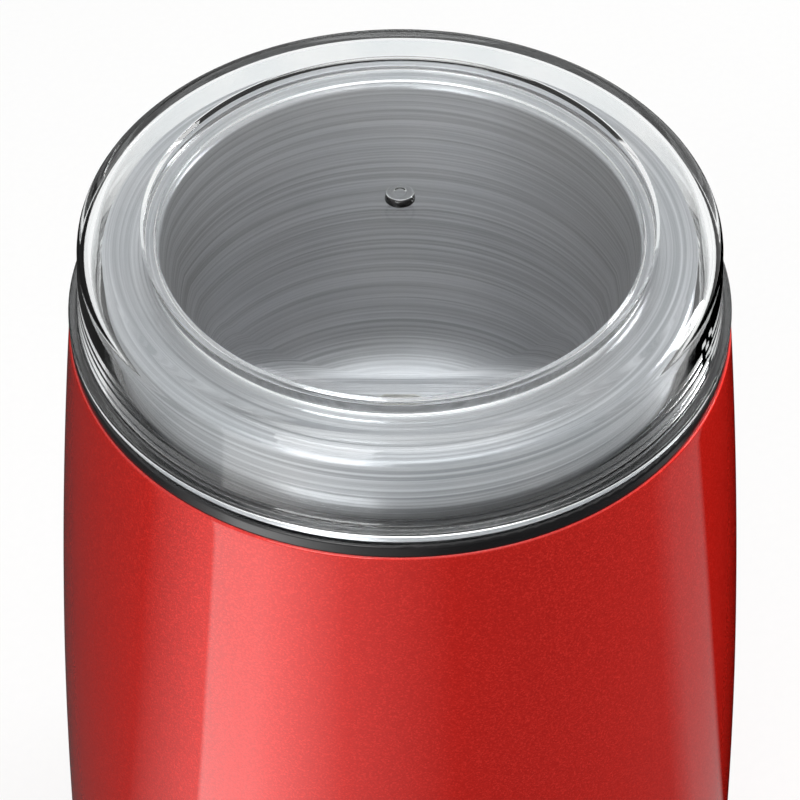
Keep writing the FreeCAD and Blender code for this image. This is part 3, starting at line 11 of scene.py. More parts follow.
import bmesh
import bpy
from mathutils import Matrix, Vector


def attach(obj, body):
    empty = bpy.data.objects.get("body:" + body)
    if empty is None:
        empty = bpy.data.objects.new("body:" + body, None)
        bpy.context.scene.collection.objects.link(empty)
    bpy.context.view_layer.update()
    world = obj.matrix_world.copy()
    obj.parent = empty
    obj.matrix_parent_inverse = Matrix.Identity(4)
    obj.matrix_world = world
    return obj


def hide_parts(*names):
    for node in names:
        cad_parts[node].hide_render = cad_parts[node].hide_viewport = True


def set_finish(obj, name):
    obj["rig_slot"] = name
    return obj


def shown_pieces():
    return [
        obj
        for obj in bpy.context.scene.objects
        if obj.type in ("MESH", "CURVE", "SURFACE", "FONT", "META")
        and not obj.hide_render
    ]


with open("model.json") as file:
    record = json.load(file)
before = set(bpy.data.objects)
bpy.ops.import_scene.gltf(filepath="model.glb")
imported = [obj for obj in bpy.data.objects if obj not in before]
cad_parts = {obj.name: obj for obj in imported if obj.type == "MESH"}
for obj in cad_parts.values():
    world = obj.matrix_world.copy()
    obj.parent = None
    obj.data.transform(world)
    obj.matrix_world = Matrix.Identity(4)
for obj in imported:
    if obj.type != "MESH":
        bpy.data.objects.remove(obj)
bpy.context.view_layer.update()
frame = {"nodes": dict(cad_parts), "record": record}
nodes = frame["nodes"]
scene = bpy.context.scene
scene.view_settings.view_transform = "Standard"
MM = 0.001

# %% [markdown]
# Most of this grinder is round, so most pieces are an outline turned about the Z axis. An
# outline is a list of corners in millimetres, radius and height, and a corner may be
# rounded. A rounded corner is a short arc, and its points are worked out here.

# %% Outlines with rounded corners
ARC_STEP = math.radians(12)


def rounded(corner, before, after, radius):
    """Points of the arc that rounds a corner, from the side of before to that of after."""
    here = Vector(corner)
    to_before = (Vector(before) - here).normalized()
    to_after = (Vector(after) - here).normalized()
    half = to_before.angle(to_after) / 2
    centre = here + (to_before + to_after).normalized() * (radius / math.sin(half))
    start = here + to_before * (radius / math.tan(half)) - centre
    end = here + to_after * (radius / math.tan(half)) - centre
    turn = start.angle_signed(end)
    count = max(3, math.ceil(abs(turn) / ARC_STEP))
    return [centre + Matrix.Rotation(-turn * i / count, 2) @ start for i in range(count + 1)]


def outline(*corners):
    """Points of an outline whose corners are (radius, height) or (radius, height, rounding)."""
    points = []
    for i, corner in enumerate(corners):
        if len(corner) == 3:
            after = corners[(i + 1) % len(corners)]
            points += rounded(corner[:2], corners[i - 1][:2], after[:2], corner[2])
        else:
            points.append(Vector(corner))
    return points


def circle_centre(a, b, c):
    """Centre of the circle through three points."""
    d = 2 * (a.x * (b.y - c.y) + b.x * (c.y - a.y) + c.x * (a.y - b.y))
    x = (a.dot(a) * (b.y - c.y) + b.dot(b) * (c.y - a.y) + c.dot(c) * (a.y - b.y)) / d
    y = (a.dot(a) * (c.x - b.x) + b.dot(b) * (a.x - c.x) + c.dot(c) * (b.x - a.x)) / d
    return Vector((x, y))


def arc(start, centre, end, count):
    """Points after start on the arc about a centre, up to end."""
    spoke = start - centre
    turn = spoke.angle_signed(end - centre)
    return [centre + Matrix.Rotation(-turn * i / count, 2) @ spoke for i in range(1, count + 1)]


print("arc check:", [tuple(round(v, 3) for v in p) for p in outline((0, 0), (10, 0, 2), (10, 5))][:4])

# %% [markdown]
# A spin turns an outline into a surface of revolution. The start is an azimuth, counted
# from the front (-Y) towards +X, so that a facet can be centred where a rib will grow out.

# %% Turned pieces
ROUND_STEPS = 192
MERGE = 1e-7
SMOOTH_ANGLE = 35


def at_azimuth(radius, height, azimuth):
    """Point in metres from a radius and height in millimetres and an azimuth in degrees."""
    turn = math.radians(azimuth)
    return Vector((radius * math.sin(turn), -radius * math.cos(turn), height)) * MM


def spun(points, azimuth=0.0):
    """Bmesh of an outline turned about Z; an outline that meets the axis is closed there."""
    bm = bmesh.new()
    verts = [bm.verts.new(at_azimuth(p[0], p[1], azimuth)) for p in points]
    pairs = list(zip(verts, verts[1:]))
    if points[0][0] > 0:
        pairs.append((verts[-1], verts[0]))
    edges = [bm.edges.new(pair) for pair in pairs]
    bmesh.ops.spin(bm, geom=verts + edges, cent=(0, 0, 0), axis=(0, 0, 1), dvec=(0, 0, 0),
                   angle=2 * math.pi, steps=ROUND_STEPS, use_merge=True)
    bmesh.ops.remove_doubles(bm, verts=bm.verts, dist=MERGE)
    bmesh.ops.recalc_face_normals(bm, faces=bm.faces)
    return bm


def finished(bm, name, body, slot, smooth_angle=SMOOTH_ANGLE, replaces=()):
    """Object from a bmesh: smooth except at real corners, and riding on its body."""
    mesh = bpy.data.meshes.new(name)
    bm.to_mesh(mesh)
    bm.free()
    mesh.shade_smooth()
    mesh.set_sharp_from_angle(angle=math.radians(smooth_angle))
    piece = bpy.data.objects.new(name, mesh)
    scene.collection.objects.link(piece)
    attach(piece, body)
    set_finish(piece, slot)
    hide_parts(*replaces)
    print(name, "faces:", len(mesh.polygons))
    return piece


# %% [markdown]
# The housing is a flared moulding. Its flank is one long arc, and a second arc brings it in
# to the foot. The two are tangent, so the second one's centre lies on the line from the
# first one's centre to the corner where they meet. It is spun as one closed wall, finely
# enough that its lacquer mirrors the room without facets.

# %% The housing's outline
TOP = Vector((42.75, 154.0))
WAIST = Vector((49.22, 101.51))
BELLY = Vector((53.6, 48.8))
FOOT = Vector((50.4, 2.6))
HOUSING_WALL = 2.0
FOOT_RING = 3.4
FOOT_RING_HEIGHT = 3.4
FLANK_STEPS = 52
FOOT_STEPS = 24


def flank(offset=0.0):
    """Points down the housing's side, from the top edge to the foot."""
    top, waist, belly, foot = (p + Vector((offset, 0)) for p in (TOP, WAIST, BELLY, FOOT))
    centre = circle_centre(top, waist, belly)
    inwards = (centre - belly).normalized()
    chord = foot - belly
    lower_centre = belly + inwards * (chord.length_squared / (2 * chord.dot(inwards)))
    return [top] + arc(top, centre, belly, FLANK_STEPS) + arc(belly, lower_centre, foot, FOOT_STEPS)


outside = flank()
inside = [p for p in flank(-HOUSING_WALL) if p.y > FOOT.y + FOOT_RING_HEIGHT]
print("flank points:", len(outside), "widest:", round(max(p.x for p in outside), 2), "mm")

# %% [markdown]
# The top edge has a hair of rounding, where the paint wraps over, and the foot a larger one.
# Holes for the button's bezel and for the cord gland are cut with the Boolean modifier,
# which is applied at once, so that the finished piece is a plain mesh.

# %% The housing shell
EDGE_ROUND = 0.35
FOOT_ROUND = 1.6
BUTTON_Z = 88.0
BUTTON_HOLE_R = 15.0
CORD_Z = 16.0
CORD_HOLE_R = 5.0
CUT_NEAR = 30.0
CUT_FAR = 70.0
HOLE_SIDES = 96


def drilled(piece, radius, height, y_from, y_to):
    """Cuts a round hole along Y through a piece, by a Boolean that is applied."""
    bm = bmesh.new()
    middle = Matrix.Translation(Vector((0, (y_from + y_to) / 2, height)) * MM)
    bmesh.ops.create_cone(bm, cap_ends=True, segments=HOLE_SIDES, radius1=radius * MM, radius2=radius * MM,
                          depth=abs(y_to - y_from) * MM,
                          matrix=middle @ Matrix.Rotation(math.pi / 2, 4, "X"))
    mesh = bpy.data.meshes.new("cutter")
    bm.to_mesh(mesh)
    bm.free()
    cutter = bpy.data.objects.new("cutter", mesh)
    scene.collection.objects.link(cutter)
    cut = piece.modifiers.new("cut", "BOOLEAN")
    cut.operation = "DIFFERENCE"
    cut.object = cutter
    cut.solver = "EXACT"
    bpy.context.view_layer.update()
    depsgraph = bpy.context.evaluated_depsgraph_get()
    result = bpy.data.meshes.new_from_object(piece.evaluated_get(depsgraph))
    piece.modifiers.clear()
    piece.data = result
    piece.data.set_sharp_from_angle(angle=math.radians(SMOOTH_ANGLE))
    bpy.data.objects.remove(cutter)


shell_points = outline((TOP.x - HOUSING_WALL, TOP.y), (TOP.x, TOP.y, EDGE_ROUND),
                       tuple(outside[1]))[:-1]
shell_points += outside[1:-1]
shell_points += outline(tuple(outside[-2]), (FOOT.x, FOOT.y, FOOT_ROUND),
                        (FOOT.x - FOOT_RING, FOOT.y))[1:]
shell_points += [Vector((FOOT.x - FOOT_RING, FOOT.y + FOOT_RING_HEIGHT)),
                 Vector((inside[-1].x, FOOT.y + FOOT_RING_HEIGHT))]
shell_points += list(reversed(inside[1:]))
shell = finished(spun(shell_points), "housing_shell_lacquered", "housing", "red_paint",
                 replaces=["housing_shell"])
drilled(shell, BUTTON_HOLE_R, BUTTON_Z, -CUT_FAR, -CUT_NEAR)
drilled(shell, CORD_HOLE_R, CORD_Z, CUT_NEAR, CUT_FAR)
print("shell faces after drilling:", len(shell.data.polygons))

# %% [markdown]
# The bowl is one pressing of 0.8 mm sheet: a deep cup, a flat land round its rim, and a neck
# that goes down outside the land. Its section is a thin closed strip that is spun.

# %% The grinding bowl
STEEL = 0.8
BOWL_HOLE_R = 5.0
BOWL_FLOOR_Z = 114.8
BOWL_R = 30.3
BOWL_CORNER = 8.0
LAND_Z = 165.0
LAND_ROUND = 0.6
NECK_R = 37.4
NECK_Z = 151.0

bowl = finished(spun(outline(
    (BOWL_HOLE_R, BOWL_FLOOR_Z - STEEL), (BOWL_HOLE_R, BOWL_FLOOR_Z),
    (BOWL_R, BOWL_FLOOR_Z, BOWL_CORNER), (BOWL_R, LAND_Z, LAND_ROUND), (NECK_R, LAND_Z, LAND_ROUND),
    (NECK_R, NECK_Z), (NECK_R - STEEL, NECK_Z), (NECK_R - STEEL, LAND_Z - STEEL),
    (BOWL_R + STEEL, LAND_Z - STEEL), (BOWL_R + STEEL, BOWL_FLOOR_Z - STEEL, BOWL_CORNER + STEEL))),
    "grinding_bowl_pressed", "housing", "bowl_steel", replaces=["grinding_bowl"])

# %% [markdown]
# The lid is one clear moulding, and light bends at each of its faces, so its wall has to be a
# true closed solid. Its outline goes from the gate nub at the top, over the domed window, the
# shallow groove and the rounded rim, down the tapered skirt to the flange, and back inside.

# %% The lid's outline
FLANGE_R = 42.45
FLANGE_Z = 156.4
FLANGE_TOP_Z = 157.7
SKIRT_FOOT_R = 41.2
SKIRT_TOP_R = 40.1
SKIRT_WALL = 1.7
RIM_ROUND = 2.9
RIM_INNER_ROUND = 1.3
SKIRT_FOOT_ROUND = 0.5
FLANGE_ROUND = 0.4
LID_UNDER_Z = 167.4
LID_TOP_Z = 169.85
WINDOW_R = 30.4
WINDOW_EDGE_Z = 169.35
WINDOW_RISE = 3.0
WINDOW_WALL = 2.2
RIB_FOOT_Z = 165.3
RIB_R = 32.0
RIB_TAPER = 0.1
RIB_ROUND = 0.35
RIB_ROOT_ROUND = 0.3
GROOVE_SLOPE = 0.3
GROOVE_ROUND = 0.25
NUB_R = 1.9
NUB_TOP_R = 1.75
NUB_ROUND = 0.6
NUB_HEIGHT = 0.95
DIMPLE_R = 0.7
DIMPLE_DEPTH = 0.15
DIMPLE_ROUND = 0.15
DIMPLE_EDGE = 0.2
DIMPLE_EDGE_ROUND = 0.1
TAB_ROOT = 0.6
TAB_RIB_HEIGHT = 8.0
DOME_STEPS = 14

apex = Vector((0, WINDOW_EDGE_Z + WINDOW_RISE))
window_edge = Vector((WINDOW_R, WINDOW_EDGE_Z))
ball_centre = Vector((0, apex.y - (WINDOW_R ** 2 + WINDOW_RISE ** 2) / (2 * WINDOW_RISE)))
nub_foot = ball_centre + Matrix.Rotation(-math.asin(NUB_R / (apex - ball_centre).length), 2) \
    @ (apex - ball_centre)
dome = [nub_foot] + arc(nub_foot, ball_centre, window_edge, DOME_STEPS)
thickness = Vector((0, WINDOW_WALL))
under_dome = [p - thickness for p in [apex] + arc(apex, ball_centre, window_edge, DOME_STEPS)]
skirt_foot_in = SKIRT_FOOT_R - SKIRT_WALL
skirt_top_in = SKIRT_TOP_R - SKIRT_WALL


def inner_wall(z):
    """Point on the inner face of the skirt at a height."""
    share = (z - FLANGE_Z) / (LID_UNDER_Z - FLANGE_Z)
    return (skirt_foot_in + (skirt_top_in - skirt_foot_in) * share, z)


nub_top = apex.y + NUB_HEIGHT
lid_points = outline(
    (0, nub_top - DIMPLE_DEPTH), (DIMPLE_R, nub_top - DIMPLE_DEPTH, DIMPLE_ROUND),
    (DIMPLE_R + DIMPLE_EDGE, nub_top, DIMPLE_EDGE_ROUND),
    (NUB_TOP_R, nub_top, NUB_ROUND), tuple(nub_foot))[:-1]
lid_points += dome
lid_points += outline(
    tuple(window_edge), (RIB_R - RIB_TAPER, WINDOW_EDGE_Z),
    (RIB_R + GROOVE_SLOPE, LID_TOP_Z, GROOVE_ROUND), (SKIRT_TOP_R, LID_TOP_Z, RIM_ROUND),
    (SKIRT_FOOT_R, FLANGE_TOP_Z, SKIRT_FOOT_ROUND), (FLANGE_R, FLANGE_TOP_Z, FLANGE_ROUND),
    (FLANGE_R, FLANGE_Z, FLANGE_ROUND), (skirt_foot_in, FLANGE_Z),
    inner_wall(FLANGE_Z + TAB_ROOT), inner_wall(FLANGE_Z + TAB_RIB_HEIGHT),
    (skirt_top_in, LID_UNDER_Z, RIM_INNER_ROUND), (RIB_R, LID_UNDER_Z, RIB_ROOT_ROUND),
    (RIB_R - RIB_TAPER, RIB_FOOT_Z, RIB_ROUND), (WINDOW_R + RIB_TAPER, RIB_FOOT_Z, RIB_ROUND),
    (WINDOW_R, WINDOW_EDGE_Z - WINDOW_WALL))[1:]
lid_points += list(reversed(under_dome[:-1]))
print("lid outline:", len(lid_points), "points")

# %% [markdown]
# On the right, the skirt carries the safety tab that pushes the interlock's slider. It grows
# out of the spun wall: a few inner facets are extruded inwards, and the underside of that
# block is extruded down. A narrower rib above it stiffens the wall, and shows as a grey bar.

# %% The lid with its safety tab
LOCK_AZIMUTH = 70.0
TAB_FACE_R = 38.3
TAB_Z = 152.2
TAB_FACETS = 1.6
RIB_FACETS = 0.6
RIB_DEPTH = 0.9
FACET = 360 / ROUND_STEPS
inwards = -at_azimuth(1, 0, LOCK_AZIMUTH) / MM


def wall_facets(bm, half_width, z_low, z_high):
    """Facets of the skirt's inner wall near the tab's azimuth, between two heights."""
    found = []
    for face in bm.faces:
        middle = face.calc_center_median() / MM
        azimuth = math.degrees(math.atan2(middle.x, -middle.y))
        if (abs(azimuth - LOCK_AZIMUTH) < half_width * FACET and z_low < middle.z < z_high
                and face.normal.dot(inwards) > 0.9):
            found.append(face)
    return found


def grown(bm, faces, move):
    """Extrudes faces by a move in metres and gives the new end faces."""
    made = bmesh.ops.extrude_face_region(bm, geom=faces)["geom"]
    bmesh.ops.translate(bm, vec=move, verts=[v for v in made if isinstance(v, bmesh.types.BMVert)])
    bmesh.ops.delete(bm, geom=[f for f in faces if f.is_valid], context="FACES_ONLY")
    return [f for f in made if isinstance(f, bmesh.types.BMFace)]


bm = spun(lid_points, azimuth=LOCK_AZIMUTH + FACET / 2)
depth = (skirt_foot_in - TAB_FACE_R) * MM
block = grown(bm, wall_facets(bm, TAB_FACETS, FLANGE_Z, FLANGE_Z + TAB_ROOT), inwards * depth)
bm.normal_update()
under = []
for face in bm.faces:
    middle = face.calc_center_median() / MM
    if face.normal.z < -0.9 and abs(middle.z - FLANGE_Z) < 0.01 and middle.xy.length < skirt_foot_in:
        under.append(face)
grown(bm, under, Vector((0, 0, (TAB_Z - FLANGE_Z) * MM)))
rib_faces = wall_facets(bm, RIB_FACETS, FLANGE_Z + TAB_ROOT, FLANGE_Z + TAB_RIB_HEIGHT)
grown(bm, rib_faces, inwards * RIB_DEPTH * MM)
bmesh.ops.recalc_face_normals(bm, faces=bm.faces)
print("tab: block faces", len(block), "underside", len(under), "rib", len(rib_faces),
      "open edges", len([e for e in bm.edges if len(e.link_faces) != 2]))
lid = finished(bm, "lid_clear", "lid", "clear_plastic", smooth_angle=30, replaces=["lid"])

# %% [markdown]
# Every finish below is built from nodes. One function turns an sRGB colour, as a paint chart
# gives it, into the linear colour that Blender works with. Another adds a node, sets what is
# fixed and links what varies, and a third starts a material with its Principled shader.

# %% Helpers for materials


def srgb(code):
    """Linear colour from a six-digit sRGB hex value."""
    parts = [int(code[i:i + 2], 16) / 255 for i in (0, 2, 4)]
    return tuple(c / 12.92 if c <= 0.04045 else ((c + 0.055) / 1.055) ** 2.4 for c in parts) + (1.0,)


def add(tree, kind, inputs=None, stops=None, **settings):
    """Adds a node: its settings, a colour ramp's stops, and inputs as values or sockets."""
    made = tree.nodes.new(kind)
    for name, value in settings.items():
        setattr(made, name, value)
    for i, (place, colour) in enumerate(stops or []):
        ramp = made.color_ramp.elements
        stop = ramp[i] if i < len(ramp) else ramp.new(place)
        stop.position = place
        stop.color = colour
    for name, value in (inputs or {}).items():
        if isinstance(value, bpy.types.NodeSocket):
            tree.links.new(value, made.inputs[name])
        else:
            made.inputs[name].default_value = value
    return made


def new_material(name, **values):
    """Material with a Principled shader; its fixed values are given by socket name."""
    material = bpy.data.materials.new(name)
    material.use_nodes = True
    shader = material.node_tree.nodes["Principled BSDF"]
    for socket, value in values.items():
        shader.inputs[socket.replace("_", " ")].default_value = value
    return material, material.node_tree, shader


print("red as linear:", [round(c, 3) for c in srgb("c8302a")])

# %% [markdown]
# The housing is ABS under a metallic base coat and a clear lacquer. Aluminium flakes in the
# base lie nearly flat and give a broad sheen with a fine grain, while the lacquer on top
# mirrors the room sharply. So the grain tilts only the base layer, and the coat stays smooth.
# Half of the base is metal here, for the flakes, and half only scatters, as pigment does.
# Real flakes are 0.03 mm wide, too fine to show, so they are drawn 0.18 mm wide.

# %% Red metallic lacquer
FLAKE = 0.18 * MM
FLAKE_TILT = 0.1

red_lacquer, tree, shader = new_material(
    "metallic_red_lacquer", Metallic=0.5, Roughness=0.45, Specular_IOR_Level=0.0,
    Specular_Tint=srgb("c23428"),
    Coat_Weight=1.0, Coat_Roughness=0.03, Coat_IOR=1.5)
place = add(tree, "ShaderNodeTexCoord").outputs["Object"]
flakes = add(tree, "ShaderNodeTexVoronoi", {"Vector": place, "Scale": 1 / FLAKE})
tone = add(tree, "ShaderNodeSeparateColor", {"Color": flakes.outputs["Color"]})
paint = add(tree, "ShaderNodeValToRGB", {"Fac": tone.outputs["Red"]},
            stops=[(0.0, srgb("bf1f18")), (0.7, srgb("cc241c")), (1.0, srgb("dc3128"))])
tree.links.new(paint.outputs["Color"], shader.inputs["Base Color"])
tilt = add(tree, "ShaderNodeVectorMath", {0: flakes.outputs["Color"], 1: (0.5, 0.5, 0.5)},
           operation="SUBTRACT")
tilt = add(tree, "ShaderNodeVectorMath", {0: tilt.outputs[0], "Scale": FLAKE_TILT}, operation="SCALE")
facing = add(tree, "ShaderNodeNewGeometry").outputs["Normal"]
facing = add(tree, "ShaderNodeVectorMath", {0: facing, 1: tilt.outputs[0]}, operation="ADD")
facing = add(tree, "ShaderNodeVectorMath", {0: facing.outputs[0]}, operation="NORMALIZE")
tree.links.new(facing.outputs[0], shader.inputs["Normal"])
print(red_lacquer.name, "flakes", FLAKE / MM, "mm")

# %% [markdown]
# The bowl is stainless steel, drawn in a press and then brushed while it turned on a lathe.
# The brush leaves rings, so the noise changes quickly along the radius and the height, and
# hardly at all round the axis. The scratches also stretch each highlight across the rings,
# which is the anisotropy: its tangent runs round the axis and is then turned a quarter.

# %% Brushed stainless steel
RING = 0.35 * MM
ACROSS_THE_RINGS = 0.25
RING_RUN = 0.6


def ring_noise(tree, spacing, detail=3.0):
    """Noise in rings about Z, whose spacing is in metres."""
    place = add(tree, "ShaderNodeTexCoord").outputs["Object"]
    flat = add(tree, "ShaderNodeVectorMath", {0: place, 1: (1, 1, 0)}, operation="MULTIPLY").outputs[0]
    radius = add(tree, "ShaderNodeVectorMath", {0: flat}, operation="LENGTH").outputs["Value"]
    around = add(tree, "ShaderNodeVectorMath", {0: flat}, operation="NORMALIZE").outputs[0]
    around = add(tree, "ShaderNodeSeparateXYZ", {0: around})
    height = add(tree, "ShaderNodeSeparateXYZ", {0: place}).outputs["Z"]
    across = add(tree, "ShaderNodeMath", {0: radius, 1: 1 / spacing}, operation="MULTIPLY").outputs[0]
    up = add(tree, "ShaderNodeMath", {0: height, 1: 1 / spacing}, operation="MULTIPLY").outputs[0]
    run_x = add(tree, "ShaderNodeMath", {0: around.outputs["X"], 1: RING_RUN},
                operation="MULTIPLY").outputs[0]
    run_y = add(tree, "ShaderNodeMath", {0: around.outputs["Y"], 1: RING_RUN},
                operation="MULTIPLY").outputs[0]
    where = add(tree, "ShaderNodeCombineXYZ", {"X": across, "Y": up, "Z": run_x}).outputs[0]
    return add(tree, "ShaderNodeTexNoise", {"Vector": where, "W": run_y, "Scale": 1.0,
                                            "Detail": detail}, noise_dimensions="4D").outputs["Fac"]


def brushed_round(name, dark, light, roughness, depth, anisotropy):
    """Metal that was brushed or turned on a lathe."""
    material, tree, shader = new_material(name, Metallic=1.0, Anisotropic=anisotropy,
                                          Anisotropic_Rotation=ACROSS_THE_RINGS)
    rings = ring_noise(tree, RING)
    tone = add(tree, "ShaderNodeValToRGB", {"Fac": rings},
               stops=[(0.36, srgb(dark)), (0.62, srgb(light))]).outputs["Color"]
    low, high = roughness
    rough = add(tree, "ShaderNodeMapRange", {"Value": rings, "From Min": 0.3, "From Max": 0.7,
                                             "To Min": low, "To Max": high}).outputs["Result"]
    bump = add(tree, "ShaderNodeBump", {"Height": rings, "Strength": 0.6,
                                        "Distance": depth * MM}).outputs["Normal"]
    around = add(tree, "ShaderNodeTangent", direction_type="RADIAL", axis="Z").outputs["Tangent"]
    for socket, name in ((tone, "Base Color"), (rough, "Roughness"), (bump, "Normal"),
                         (around, "Tangent")):
        tree.links.new(socket, shader.inputs[name])
    return material


brushed_steel = brushed_round("brushed_stainless_steel", "a7a9ad", "dadbde", (0.32, 0.46), 0.01, 0.8)
print(brushed_steel.name)

# %% [markdown]
# The lid is injection moulded acrylic, a hard clear plastic that bends light about as much as
# window glass. Polished moulds leave it smooth, with only a trace of haze from handling, and
# its tint is so faint that it shows only where light runs along the wall.

# %% Clear acrylic
clear_acrylic, tree, shader = new_material("clear_acrylic", Transmission_Weight=1.0, IOR=1.49)
place = add(tree, "ShaderNodeTexCoord").outputs["Object"]
haze = add(tree, "ShaderNodeTexNoise", {"Vector": place, "Scale": 1 / (9 * MM), "Detail": 5.0})
rough = add(tree, "ShaderNodeMapRange", {"Value": haze.outputs["Fac"], "From Min": 0.35, "From Max": 0.75,
                                         "To Min": 0.008, "To Max": 0.035}).outputs["Result"]
tree.links.new(rough, shader.inputs["Roughness"])
tint = add(tree, "ShaderNodeValToRGB", {"Fac": haze.outputs["Fac"]},
           stops=[(0.3, srgb("f4f7f8")), (0.7, srgb("fcfdfd"))])
tree.links.new(tint.outputs["Color"], shader.inputs["Base Color"])
print(clear_acrylic.name)

# %% [markdown]
# The black mouldings, the grey and white inner ones and the rubber differ in colour, gloss
# and grain, but all are made in spark-eroded steel moulds that leave a fine, even texture.
# One function makes such a finish: a cloudy change of tone and a bump at the grain's size.

# %% Moulded plastics and rubber
CLOUD = 22 * MM


def moulded(name, dark, light, roughness, grain, depth):
    """Moulded material; the grain's size and depth are in millimetres."""
    material, tree, shader = new_material(name, IOR=1.53)
    place = add(tree, "ShaderNodeTexCoord").outputs["Object"]
    cloud = add(tree, "ShaderNodeTexNoise", {"Vector": place, "Scale": 1 / CLOUD, "Detail": 6.0,
                                             "Roughness": 0.65})
    tone = add(tree, "ShaderNodeValToRGB", {"Fac": cloud.outputs["Fac"]},
               stops=[(0.35, srgb(dark)), (0.65, srgb(light))])
    low, high = roughness
    rough = add(tree, "ShaderNodeMapRange", {"Value": cloud.outputs["Fac"], "From Min": 0.35,
                                             "From Max": 0.65, "To Min": low, "To Max": high})
    texture = add(tree, "ShaderNodeTexNoise", {"Vector": place, "Scale": 1 / (grain * MM), "Detail": 2.0})
    bump = add(tree, "ShaderNodeBump", {"Height": texture.outputs["Fac"], "Strength": 0.5,
                                        "Distance": depth * MM})
    tree.links.new(tone.outputs["Color"], shader.inputs["Base Color"])
    tree.links.new(rough.outputs["Result"], shader.inputs["Roughness"])
    tree.links.new(bump.outputs["Normal"], shader.inputs["Normal"])
    return material


black_abs = moulded("black_abs", "08080a", "0e0e10", (0.16, 0.24), 0.5, 0.008)
grey_nylon = moulded("grey_glass_filled_nylon", "6d7073", "7e8185", (0.42, 0.55), 0.6, 0.03)
white_nylon = moulded("white_nylon", "d9d7cf", "e6e4dc", (0.35, 0.45), 0.6, 0.02)
natural_nylon = moulded("natural_nylon", "b7b5ab", "c9c7be", (0.35, 0.45), 0.6, 0.02)
black_rubber = moulded("black_rubber", "161617", "202022", (0.6, 0.75), 0.4, 0.03)
graphite = moulded("pressed_graphite", "2b2b2e", "3a3a3e", (0.5, 0.62), 0.25, 0.03)
print([m.name for m in (black_abs, grey_nylon, white_nylon, natural_nylon, black_rubber, graphite)])

# %% [markdown]
# The motor's metals are finished in other ways. Cast aluminium is dull and pebbled, zinc
# plating is cloudy, drawn brass is even, and ground steel has straight scratches. They differ
# in the size of the grain and in how far it is stretched along X.

# %% Cast, plated and ground metals


def metal(name, dark, light, roughness, grain, depth, stretch=(1, 1, 1)):
    """Metal with a grain of a size and depth in millimetres, stretched along the axes."""
    material, tree, shader = new_material(name, Metallic=1.0)
    place = add(tree, "ShaderNodeTexCoord").outputs["Object"]
    scale = tuple(1 / (grain * MM * s) for s in stretch)
    spot = add(tree, "ShaderNodeVectorMath", {0: place, 1: scale}, operation="MULTIPLY").outputs[0]
    texture = add(tree, "ShaderNodeTexNoise", {"Vector": spot, "Scale": 1.0, "Detail": 3.0}).outputs["Fac"]
    cloud = add(tree, "ShaderNodeTexNoise", {"Vector": place, "Scale": 1 / (6 * MM), "Detail": 4.0})
    tone = add(tree, "ShaderNodeValToRGB", {"Fac": cloud.outputs["Fac"]},
               stops=[(0.35, srgb(dark)), (0.65, srgb(light))])
    low, high = roughness
    rough = add(tree, "ShaderNodeMapRange", {"Value": texture, "From Min": 0.3, "From Max": 0.7,
                                             "To Min": low, "To Max": high})
    bump = add(tree, "ShaderNodeBump", {"Height": texture, "Strength": 0.6, "Distance": depth * MM})
    tree.links.new(tone.outputs["Color"], shader.inputs["Base Color"])
    tree.links.new(rough.outputs["Result"], shader.inputs["Roughness"])
    tree.links.new(bump.outputs["Normal"], shader.inputs["Normal"])
    return material


ground_steel = metal("ground_blade_steel", "a6a8ab", "c4c6c9", (0.18, 0.34), 0.15, 0.01, (30, 1, 1))
zinc_plate = metal("zinc_plated_steel", "b3b0a6", "cbc8bf", (0.25, 0.42), 0.5, 0.01)
cast_aluminium = metal("cast_aluminium", "a3a5a7", "b9bbbd", (0.45, 0.62), 0.6, 0.05)
core_steel = metal("laminated_core_steel", "55565a", "6d6e72", (0.35, 0.55), 0.5, 0.05, (60, 60, 1))
copper_wire = metal("enamelled_copper_wire", "a2532b", "c46f3d", (0.25, 0.4), 0.6, 0.1, (1, 1, 30))
brass = metal("drawn_brass", "b89a4e", "cdb067", (0.25, 0.38), 0.4, 0.01, (1, 1, 20))
print([m.name for m in (ground_steel, zinc_plate, cast_aluminium, core_steel, copper_wire, brass)])

# %% [markdown]
# The record gives each node a slot, and each slot has one finish here. A new piece takes the
# finish of the slot that it was given when it was made.

# %% Finishes by slot
finishes = {
    "red_paint": red_lacquer, "black_plastic": black_abs, "bowl_steel": brushed_steel,
    "clear_plastic": clear_acrylic, "blade_steel": ground_steel, "plated_steel": zinc_plate,
    "rubber": black_rubber, "cast_aluminium": cast_aluminium, "lamination_steel": core_steel,
    "copper": copper_wire, "brass": brass, "carbon": graphite, "grey_plastic": grey_nylon,
    "white_plastic": white_nylon, "fan_plastic": natural_nylon,
}
slot_of = {row["node"]: row["material_slot"] for row in frame["record"]["subparts"]}
for name, node in nodes.items():
    node.data.materials.clear()
    node.data.materials.append(finishes[slot_of[name]])
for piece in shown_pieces():
    if piece.get("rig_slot"):
        piece.data.materials.clear()
        piece.data.materials.append(finishes[piece["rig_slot"]])

# %% [markdown]
# The grinder stands on a sheet of white paper. The camera, mirrors and clear plastic see the
# paper nearly at full white, mixed with a little of its real shading, so that the shadow
# stays. The world does the same for what looks past the paper.

# %% Paper floor and white surroundings
PAPER_GLOW = 0.8
FLOOR_R = 3.0

bm = bmesh.new()
bmesh.ops.create_circle(bm, cap_ends=True, segments=64, radius=FLOOR_R)
mesh = bpy.data.meshes.new("paper_floor")
bm.to_mesh(mesh)
bm.free()
floor = bpy.data.objects.new("paper_floor", mesh)
scene.collection.objects.link(floor)

